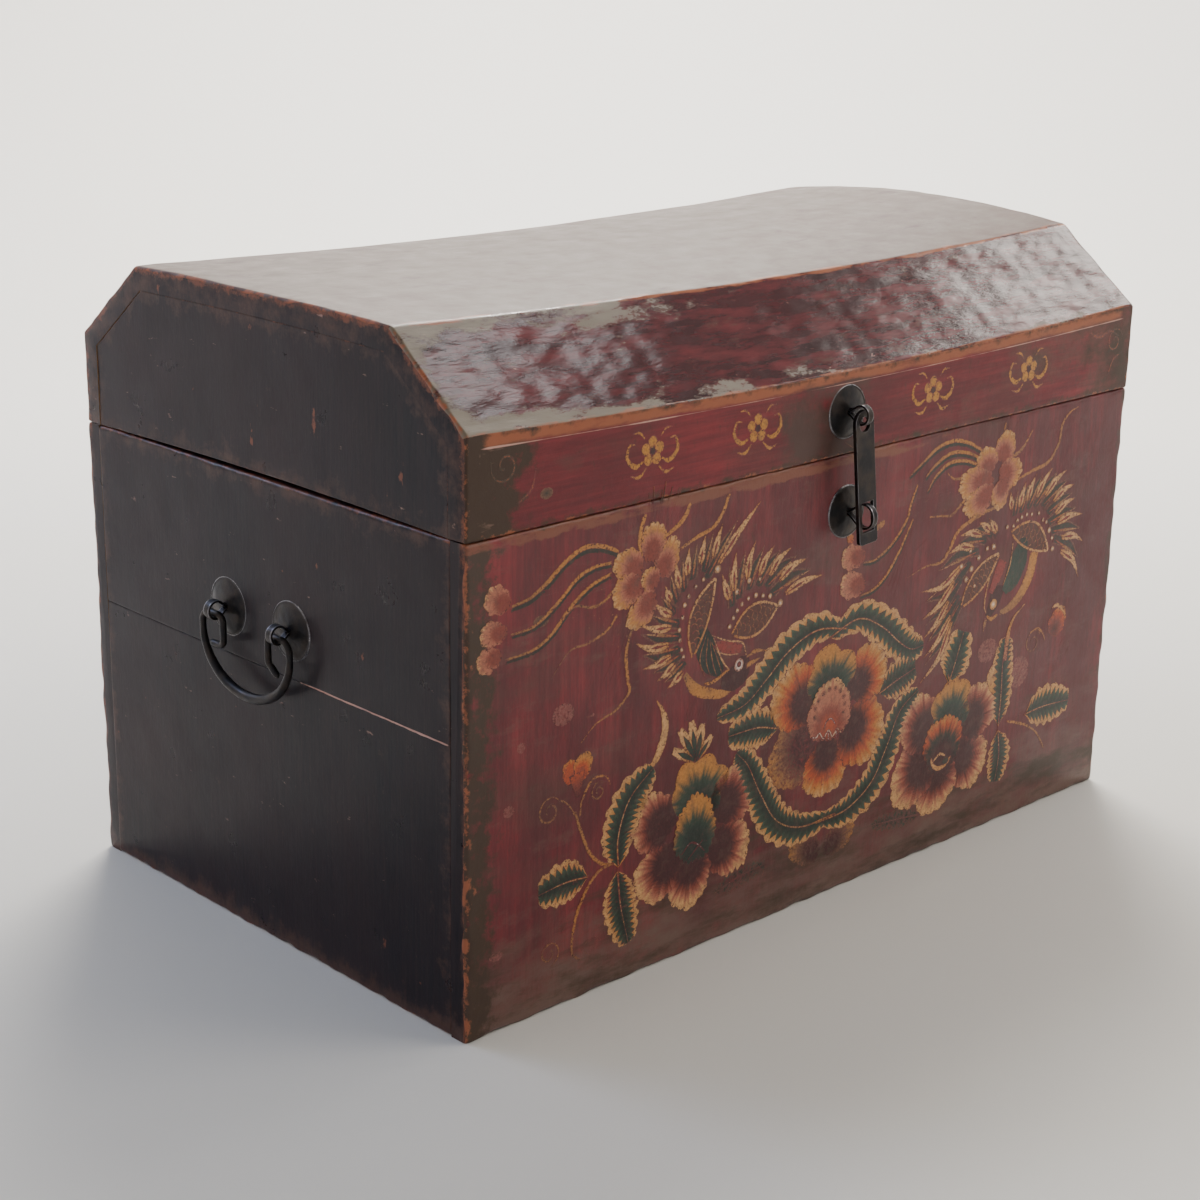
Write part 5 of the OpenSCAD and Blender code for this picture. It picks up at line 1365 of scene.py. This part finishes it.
class TrunkLacquer(bpy.types.PropertyGroup):
    """Colours and worn widths of the boards."""
    red: colour("Red", "Red lacquer of the front where it has kept its colour", "#612228")
    red_dark: colour("Dark red", "Darker clouds in the red lacquer", "#431b20")
    red_bright: colour("Bright red", "Brighter clouds and brush marks in the red lacquer", "#812a30")
    wine: colour("Wine", "Thick red lacquer of the lid's slope", "#45161a")
    wine_dark: colour("Dark wine", "Darker streaks in the slope's lacquer", "#271013")
    wine_bright: colour("Bright wine", "Brighter streaks in the slope's lacquer", "#5e2226")
    # greyish brown of the front's foot: partly dust, partly painted reflection of the pale floor
    foot: colour("Foot", "Greyish brown of the front's foot", "#5f4941")
    umber: colour("Umber", "Brown of worn lacquer", "#523a33")
    olive: colour("Olive", "Olive brown that handling leaves along the edges", "#3a2b21")
    brown: colour("Brown", "Brown that handling leaves along the edges of black lacquer", "#45302b")
    chip: colour("Chips", "Orange primer that shows in the chips", "#8a5036")
    chip_dark: colour("Old chips", "Primer that shows in old, darkened chips", "#6e4030")
    chip_pale: colour("Pale chips", "Pinkish chalk that shows in fresh chips and scores", "#b48c80")
    # the black's faint blue tint is painted cool light from the left
    black: colour("Black", "Black lacquer of the ends and the back", "#0f1017")
    black_brown: colour("Brown black", "Browner clouds in the black lacquer", "#281b1e")
    # silvery olive of the slope: partly lacquer rubbed thin, partly painted sheen
    rubbed: colour("Rubbed", "Silvery olive of lacquer rubbed thin on the slope", "#655a4b")
    top_brown: colour("Top", "Brown lacquer of the lid's top", "#564339")
    top_grey: colour("Top, rubbed", "Greyer places of the lid's top", "#62554d")
    scratch: colour("Scratches", "Reddish-brown scratches in the lid's top", "#4a2b24")
    wood: colour("Wood", "Bare wood inside the trunk", "#8a6a49")
    wood_dark: colour("Dark wood", "Late rings of the bare wood", "#64482f")
    band_front: amount("Worn band, front", "Width of the worn band along the front's edges", 9, " (mm)")
    band_side: amount("Worn band, ends", "Width of the browned band along the ends' edges", 13, " (mm)")
    front_edge: amount("Front edge radius", "Rounding of the front's edges", 3, " (mm)")


class TrunkIron(bpy.types.PropertyGroup):
    """Colours and sizes of the iron fittings."""
    iron: colour("Iron", "Oil-blackened iron", "#201f22")
    # bright iron on rims and edges: partly rubbed bare, partly painted highlight
    iron_bright: colour("Bright iron", "Iron rubbed bare on rims and edges", "#77757a")
    iron_brown: colour("Brown iron", "Brown film on old iron", "#3b332e")
    rust: colour("Rust", "Specks of rust", "#6b3f27")
    strap_bevel: amount("Strap bevel", "Bevel of the strap's edges", 0.5, " (mm)")


class TrunkPaint(bpy.types.PropertyGroup):
    """Colours of the painted ornament."""
    cream: colour("Cream", "Cream of the petals' and leaves' rims", "#ba8e5d")
    ochre: colour("Ochre", "Gold ochre of outlines and plumes", "#a87034")
    orange: colour("Orange", "Orange of the centre peony", "#a24521")
    rose: colour("Rose", "Rosy tan of the side peonies", "#9c604a")
    rose_dark: colour("Dark rose", "Brick red between rose and wine", "#75342b")
    wine: colour("Wine", "Dark wine red inside the petals", "#3b191c")
    red_paint: colour("Red", "Red of the feathers' cores and the cheek", "#7e2f2c")
    leaf: colour("Leaf", "Green of the leaves", "#2b3c31")
    leaf_dark: colour("Dark leaf", "Darkest green of the leaves", "#1c2823")
    leaf_light: colour("Light leaf", "Green of the leaves' feathered tips", "#445540")
    vane: colour("Vane", "Blackish green between the feathers", "#2b2c26")
    wing: colour("Wing", "Brown of the wings' scaled patches", "#4e2c26")
    brown_gold: colour("Brown gold", "Dulled gold of scales and stems", "#8a5f37")
    brown_line: colour("Brown line", "Thin brown of worn lines", "#6a4836")
    gilt: colour("Gilt", "Ochre gilt of the fascia's sprigs", "#b07a26")
    chip_line: colour("Faint curls", "Burnt orange of the fascia's faint curls", "#8a4a2a")
    scuff: colour("Scuff", "Pinkish brown where the red is rubbed off", "#7d4b44")
    white: colour("White", "White of dabs and drips", "#c9beb3")
    fray: amount("Fray", "Share of a touch's rim that has flaked off", 0.35)


class TrunkStage(bpy.types.PropertyGroup):
    """Camera, backdrop and light."""
    floor: colour("Floor", "Pale grey floor and its swept-up rim", "#cbcac8")
    lens: amount("Lens", "Camera's focal length", 68.67, " (mm)")
    key: amount("Key light", "Large soft light ahead and to the right", 85, " (W)")
    glare: amount("Glare", "Smaller light high on the right, mirrored by the lid's slope", 20, " (W)")
    streak: amount("Streak", "Small light higher still, mirrored at the slope's left end", 6, " (W)")
    back: amount("Cool light", "Light behind the left end", 40, " (W)")
    wash: amount("Wash", "Light turned onto the backdrop", 230, " (W)")
    room: amount("Room", "Strength of the even light from all round", 0.36)


# Operators

SIDES = ((-1, "left"), (1, "right"))
EYES = ((-1, "front"), (1, "rear"))      # the two eyes of a handle
HASP_EYE = (3.0, 403.4)     # x and z of the eye that carries the strap
STAPLE = (8.0, 323.5)       # x and z of the staple's eye
BAIL = {"y": 4.0, "z": 260.0, "span": 79.0, "off": 13.5, "pivot": 257.1}
HANDLE = {"arm_y": 55.0, "return_y": 28.5, "tip": 12.0, "tip_bend": 5.0, "return_bend": 6.0, "return_l": 13.0,
          "arm_bend": 9.5, "arm_straight": 4.0, "drop": 56.0, "rod": 2.6, "grip": 4.0}
TIP_TURNS = (55, 90)        # degrees that the front and the rear hook's tip turn back
DISC_HIGH = 4.0
DISC_T = 1.2
HOLE_R = 3.6


class TRUNK_OT_body(bpy.types.Operator):
    """Front and back boards and the two planks of each end"""
    bl_idname = "trunk.body"
    bl_label = "Body boards"

    def execute(self, context):
        edge = context.scene.trunk_lacquer.front_edge
        black = [black_lacquer(), black_lacquer(), old_wood()]
        long_board("front_panel", "front_board", "red_lacquer", [red_lacquer()] + black[1:], front_height, -1,
                   (edge, edge, edge), (0, 6, 8))
        long_board("back_panel", "back_board", "black_lacquer", black, functools.partial(board_swell, seed=31), 1,
                   (edge, edge, edge), (0, 0, 0))
        for side, end in SIDES:
            for low, high, part, radii, rims in ((0, PLANK_JOINT, "lower", (0.7, edge, 1.0), (3, 0, FAR)),
                                                 (PLANK_JOINT, BODY_H, "upper", (0.7, 1.0, edge), (3, FAR, 0))):
                end_plank(f"{end}_{part}_panel", f"{end}_{part}_plank", "black_lacquer", black,
                          functools.partial(board_swell, seed=41 + side, sunk=PLANK_SUNK), side, low, high, radii, rims)
        return {"FINISHED"}


class TRUNK_OT_lid(bpy.types.Operator):
    """Rails, slopes, top and gables of the lid"""
    bl_idname = "trunk.lid"
    bl_label = "Lid boards"

    def execute(self, context):
        black, wood = black_lacquer(), old_wood()
        for part, node, slot, skin, side, (outer, inner), wrinkle, radius in (
                ("front_fascia", "front_rail", "red_lacquer", fascia_lacquer(), 1, rail_rows(), 0, 1.8),
                ("back_fascia", "back_rail", "black_lacquer", black, -1, rail_rows(), 0, 1.8),
                ("front_incline", "front_slope", "red_lacquer", slope_lacquer(), 1, slope_rows(), 1, 2.2),
                ("back_incline", "back_slope", "black_lacquer", black, -1, slope_rows(), 0.3, 2.0),
                ("top", "top_board", "brown_lacquer", top_lacquer(), 1, top_rows(), 0, 2.2)):
            lid_board("lid_" + part, "lid_" + node, slot, [skin, black, wood], side, outer, inner, wrinkle, radius)
        for side, end in SIDES:
            gable(f"lid_{end}_gable_panel", f"lid_{end}_gable", "black_lacquer", [black, black, wood],
                  functools.partial(board_swell, seed=61 + side, sunk=GABLE_SUNK), side)
        return {"FINISHED"}


def on_front(spot):
    """Puts rings that stand along Z off a wall on the front, round a spot in x and z."""
    x, z = spot
    return lambda rings: np.stack([x + rings[..., 0], -HALF_D - rings[..., 2], z + rings[..., 1]], -1)


def on_end(side, row):
    """Puts rings that stand along Z off a wall on an end, at the front (-1) or rear (1) eye of its handle."""
    y = BAIL["y"] + row * BAIL["span"] / 2
    return lambda rings: np.stack([side * (HALF_L + rings[..., 2]), y + rings[..., 0], BAIL["z"] + rings[..., 1]], -1)


class TRUNK_OT_discs(bpy.types.Operator):
    """Domed iron discs under the split pins"""
    bl_idname = "trunk.discs"
    bl_label = "Discs"

    def execute(self, context):
        places = [(on_front(HASP_EYE), "hasp_eye_disc", "lid", 43.0), (on_front(STAPLE), "staple_disc", "box", 43.0)]
        places += [(on_end(side, row), f"{end}_{part}_disc", "box", 47.0)
                   for side, end in SIDES for row, part in EYES]
        for k, (place, node, body, wide) in enumerate(places):
            rings, kinds = disc_rings(wide, DISC_HIGH, DISC_T, HOLE_R, 71 + k)
            stand_in(carried(node + "_iron", place(rings), kinds, 0, [forged_iron(), rubbed_and_highlit_iron()], closed=True,
                             sharp=50), node, body, "iron")
        return {"FINISHED"}


class TRUNK_OT_pins(bpy.types.Operator):
    """Split pins with their eyes and clinched tails"""
    bl_idname = "trunk.pins"
    bl_label = "Split pins"

    def execute(self, context):
        places = [(on_front(HASP_EYE), "hasp_eye", "lid", 6.2, 6.0, 16.0, LID_T),
                  (on_front(STAPLE), "hasp_staple", "box", 8.5, 5.5, 19.5, BOARD_T)]
        places += [(on_end(side, row), f"{end}_{part}_eye", "box", 5.8, 7.0, BAIL["off"], END_T)
                   for side, end in SIDES for row, part in EYES]
        # the band's rounded edges take the bright iron: partly wear, partly painted highlight
        kinds = np.array(([1] * 4 + [0]) * 4)
        for place, node, body, eye_r, band_w, off, wall in places:
            stand_in(carried(node + "_pin", place(pin_rings(eye_r, band_w, off, wall)), kinds, 0,
                             [forged_iron(), rubbed_and_highlit_iron()], sharp=50), node, body, "iron")
        return {"FINISHED"}


class TRUNK_OT_strap(bpy.types.Operator):
    """Slotted strap of the hasp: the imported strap, merged and bevelled"""
    bl_idname = "trunk.strap"
    bl_label = "Hasp strap"

    def execute(self, context):
        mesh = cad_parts["hasp_strap"].data.copy()
        mesh.name = "hasp_strap_iron"
        shell = bmesh.new()
        shell.from_mesh(mesh)
        bmesh.ops.remove_doubles(shell, verts=shell.verts, dist=0.01 * MM)
        bmesh.ops.dissolve_limit(shell, angle_limit=math.radians(0.5), verts=shell.verts, edges=shell.edges)
        shell.to_mesh(mesh)
        shell.free()
        mesh.materials.clear()
        mesh.materials.append(forged_iron())
        mesh.materials.append(rubbed_and_highlit_iron())
        strap = bpy.data.objects.new("hasp_strap_iron", mesh)
        context.scene.collection.objects.link(strap)
        bevel = strap.modifiers.new("worn edges", "BEVEL")
        bevel.width = context.scene.trunk_iron.strap_bevel * MM
        bevel.segments = 3
        bevel.limit_method = "ANGLE"
        bevel.angle_limit = math.radians(40)
        # the bevels take the bright iron: partly wear, partly painted highlight
        bevel.material = 1
        mesh.shade_smooth()
        mesh.set_sharp_from_angle(angle=math.radians(50))
        stand_in(strap, "hasp_strap", "hasp", "iron")
        return {"FINISHED"}


class TRUNK_OT_handles(bpy.types.Operator):
    """Hooked bail handles on the ends"""
    bl_idname = "trunk.handles"
    bl_label = "Handles"

    def execute(self, context):
        (front, front_r), (rear, rear_r) = (handle_path(HANDLE, turn) for turn in TIP_TURNS)
        whole = np.concatenate([rear, (front * [-1, 1])[::-1][1:]])
        rings = rod_rings(whole, np.concatenate([rear_r, front_r[::-1][1:]]))
        rings = rings + DENTS_ROD * swell(rings, 6, 81)[..., None] * unit(rings - rings.mean(1, keepdims=True))
        for side, end in SIDES:
            placed = rings + [side * (HALF_L + BAIL["off"]), BAIL["y"], BAIL["pivot"]]
            stand_in(carried(f"{end}_handle_rod", placed, 0, 0, [forged_iron()]), f"{end}_bail", f"{end}_handle",
                     "iron")
        return {"FINISHED"}


class TRUNK_OT_kept(bpy.types.Operator):
    """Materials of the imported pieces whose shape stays: bottom, pegs, nails and hinges"""
    bl_idname = "trunk.kept"
    bl_label = "Bottom, pegs, nails and hinges"

    def execute(self, context):
        for maker, nodes in ((old_wood, "bottom_plank_front bottom_plank_middle bottom_plank_back"),
                             (split_bamboo, "corner_pegs lid_pegs"),
                             (forged_iron, "bottom_nails left_hinge_staple right_hinge_staple left_hinge_ring "
                                           "right_hinge_ring")):
            for node in nodes.split():
                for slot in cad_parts[node].material_slots:
                    slot.link = "OBJECT"
                    slot.material = maker()
        return {"FINISHED"}


class TRUNK_OT_peonies(bpy.types.Operator):
    """Painted peonies, leaves and tendrils on the front"""
    bl_idname = "trunk.peonies"
    bl_label = "Peonies"

    def execute(self, context):
        painted("peony_painting", [scuffs(), centre_peony(), left_spray(), right_spray()], "box", oil_colours(),
                front_height, 0, BODY_H)
        return {"FINISHED"}


class TRUNK_OT_phoenixes(bpy.types.Operator):
    """Painted pair of phoenixes on the front"""
    bl_idname = "trunk.phoenixes"
    bl_label = "Phoenixes"

    def execute(self, context):
        painted("left_phoenix_painting", left_phoenix(), "box", oil_colours(), front_height, 0, BODY_H)
        painted("right_phoenix_painting", right_phoenix(), "box", oil_colours(), front_height, 0, BODY_H)
        return {"FINISHED"}


class TRUNK_OT_sprigs(bpy.types.Operator):
    """Gilt sprigs and faint curls on the lid's fascia"""
    bl_idname = "trunk.sprigs"
    bl_label = "Fascia sprigs"

    def execute(self, context):
        painted("fascia_gilding", fascia_ornament(), "lid", fascia_gilt(), lid_height, LID_Z + 6, LID_Z + RAIL_H - 6)
        return {"FINISHED"}


CAMERA_PLACE = (-1322.8, -1336.8, 793.8)
CAMERA_TURN = (43.23, 18.0, 0.81)       # degrees: clockwise from +Y seen from above, down, and roll
CAMERA_SHIFT = (0.0251, 0.0118)


class TRUNK_OT_stage(bpy.types.Operator):
    """Camera, pale floor and soft studio light"""
    bl_idname = "trunk.stage"
    bl_label = "Stage"

    def execute(self, context):
        p = context.scene.trunk_stage
        camera = bpy.data.cameras.new("camera")
        camera.lens = p.lens
        camera.sensor_width = 36
        camera.shift_x, camera.shift_y = CAMERA_SHIFT
        camera.clip_start, camera.clip_end = 0.05, 60
        heading, down, roll = np.radians(CAMERA_TURN)
        forward = Vector((math.sin(heading) * math.cos(down), math.cos(heading) * math.cos(down), -math.sin(down)))
        level = forward.cross(Vector((0, 0, 1))).normalized()
        above = level.cross(forward)
        right = level * math.cos(roll) + above * math.sin(roll)
        up = above * math.cos(roll) - level * math.sin(roll)
        view = bpy.data.objects.new("camera", camera)
        view.matrix_world = Matrix.Translation(Vector(CAMERA_PLACE) * MM) @ Matrix(
            (right, up, -forward)).transposed().to_4x4()
        context.scene.collection.objects.link(view)
        context.scene.camera = view

        sweep("backdrop", 1.7, 1.2, 2.6, studio_floor())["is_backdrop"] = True
        for name, power, wide, place, aim, code in (
                ("key", p.key, 1.8, (1.9, -2.1, 2.3), (0, 0, 0.25), "#fff6ea"),
                ("glare", p.glare, 0.85, (2.85, -0.2, 2.08), (0.3, -0.2, 0.45), "#fff8f0"),
                ("streak", p.streak, 0.6, (1.5, -0.25, 2.75), (-0.35, -0.2, 0.45), "#ffffff"),
                ("cool", p.back, 1.2, (-1.3, 2.2, 2.0), (-0.7, -0.3, 0.1), "#bfd4ff"),
                ("wash", p.wash, 1.4, (1.5, 1.6, 2.5), (1.6, 1.7, 0), "#fffaf2")):
            light = bpy.data.lights.new(name, "AREA")
            light.energy = power
            light.size = wide
            light.color = linear(code)[:3]
            lamp = bpy.data.objects.new(name, light)
            facing = (Vector(aim) - Vector(place)).to_track_quat("-Z", "Y").to_matrix().to_4x4()
            lamp.matrix_world = Matrix.Translation(Vector(place)) @ facing
            context.scene.collection.objects.link(lamp)
        world = bpy.data.worlds.new("room")
        world.use_nodes = True
        world.node_tree.nodes.clear()
        glow = add(world.node_tree, "Background", {"Color": linear("#f3f2ef"), "Strength": p.room})
        add(world.node_tree, "OutputWorld", {"Surface": glow.outputs[0]})
        context.scene.world = world
        return {"FINISHED"}


def sweep(name, flat, foot, tall, material, sides=128):
    """Round studio backdrop, sizes in metres: a flat disc of radius flat, a quarter circle of radius foot that
    turns up at its rim, and an upright wall up to tall. Its normals face inwards."""
    rise = np.linspace(0, math.pi / 2, 17)
    r = np.concatenate([flat + foot * np.sin(rise), [flat + foot]])[:, None]
    z = np.concatenate([foot * (1 - np.cos(rise)), [tall]])[:, None]
    turn = np.linspace(0, 2 * math.pi, sides, endpoint=False)
    points = np.stack(np.broadcast_arrays(r * np.cos(turn), r * np.sin(turn), z), -1)
    i, j = np.arange(len(r) - 1)[:, None] * sides, np.arange(sides)
    after = (j + 1) % sides
    quads = np.stack([i + j, i + after, i + sides + after, i + sides + j], -1).reshape(-1, 4)
    piece = put_mesh(name, points.reshape(-1, 3) / MM, [quads, np.arange(sides - 1, -1, -1)[None]],
                     [np.zeros(len(quads)), np.zeros(1)], [material])
    piece.data.flip_normals()
    return piece


@finish("painted floor, matt", "trunk_stage")
def studio_floor(tree, place, p):
    """Painted concrete, rolled matt: pale grey with a faint cloud."""
    base = layers(tree, place, p.floor, (linear("#cbc9c5"), 600, 0.5, 0.5, ALL_WAYS, 0.5))
    shader = add(tree, "BsdfPrincipled", {"Base Color": base, "Roughness": 0.7, "Specular IOR Level": 0.3})
    add(tree, "OutputMaterial", {"Surface": shader.outputs[0]})


class TRUNK_PT_pieces(bpy.types.Panel):
    """Lists the settings and the operators of the trunk"""
    bl_idname = "TRUNK_PT_pieces"
    bl_label = "Trunk"
    bl_space_type = "VIEW_3D"
    bl_region_type = "UI"
    bl_category = "Trunk"

    def draw(self, context):
        for name, kind in GROUPS.items():
            box = self.layout.box()
            for key in kind.__annotations__:
                box.prop(getattr(context.scene, name), key)
        for operator in OPERATORS:
            self.layout.operator(operator.bl_idname)


GROUPS = {"trunk_lacquer": TrunkLacquer, "trunk_iron": TrunkIron, "trunk_paint": TrunkPaint,
          "trunk_stage": TrunkStage}
OPERATORS = (TRUNK_OT_stage, TRUNK_OT_body, TRUNK_OT_lid, TRUNK_OT_discs, TRUNK_OT_pins, TRUNK_OT_strap,
             TRUNK_OT_handles, TRUNK_OT_kept, TRUNK_OT_peonies, TRUNK_OT_phoenixes, TRUNK_OT_sprigs)


def register():
    for kind in tuple(GROUPS.values()) + OPERATORS + (TRUNK_PT_pieces,):
        bpy.utils.register_class(kind)
    for name, kind in GROUPS.items():
        setattr(bpy.types.Scene, name, PointerProperty(type=kind))


def unregister():
    for name in GROUPS:
        delattr(bpy.types.Scene, name)
    for kind in (TRUNK_PT_pieces,) + OPERATORS[::-1] + tuple(GROUPS.values())[::-1]:
        bpy.utils.unregister_class(kind)


def main():
    register()
    bpy.ops.trunk.stage()
    bpy.ops.trunk.body()
    bpy.ops.trunk.lid()
    bpy.ops.trunk.discs()
    bpy.ops.trunk.pins()
    bpy.ops.trunk.strap()
    bpy.ops.trunk.handles()
    bpy.ops.trunk.kept()
    bpy.ops.trunk.peonies()
    bpy.ops.trunk.phoenixes()
    bpy.ops.trunk.sprigs()
    [[list(map(float, corner)) for corner in box] for box in (CAD_BOUNDS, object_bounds())]


if __name__ == "__main__":
    main()
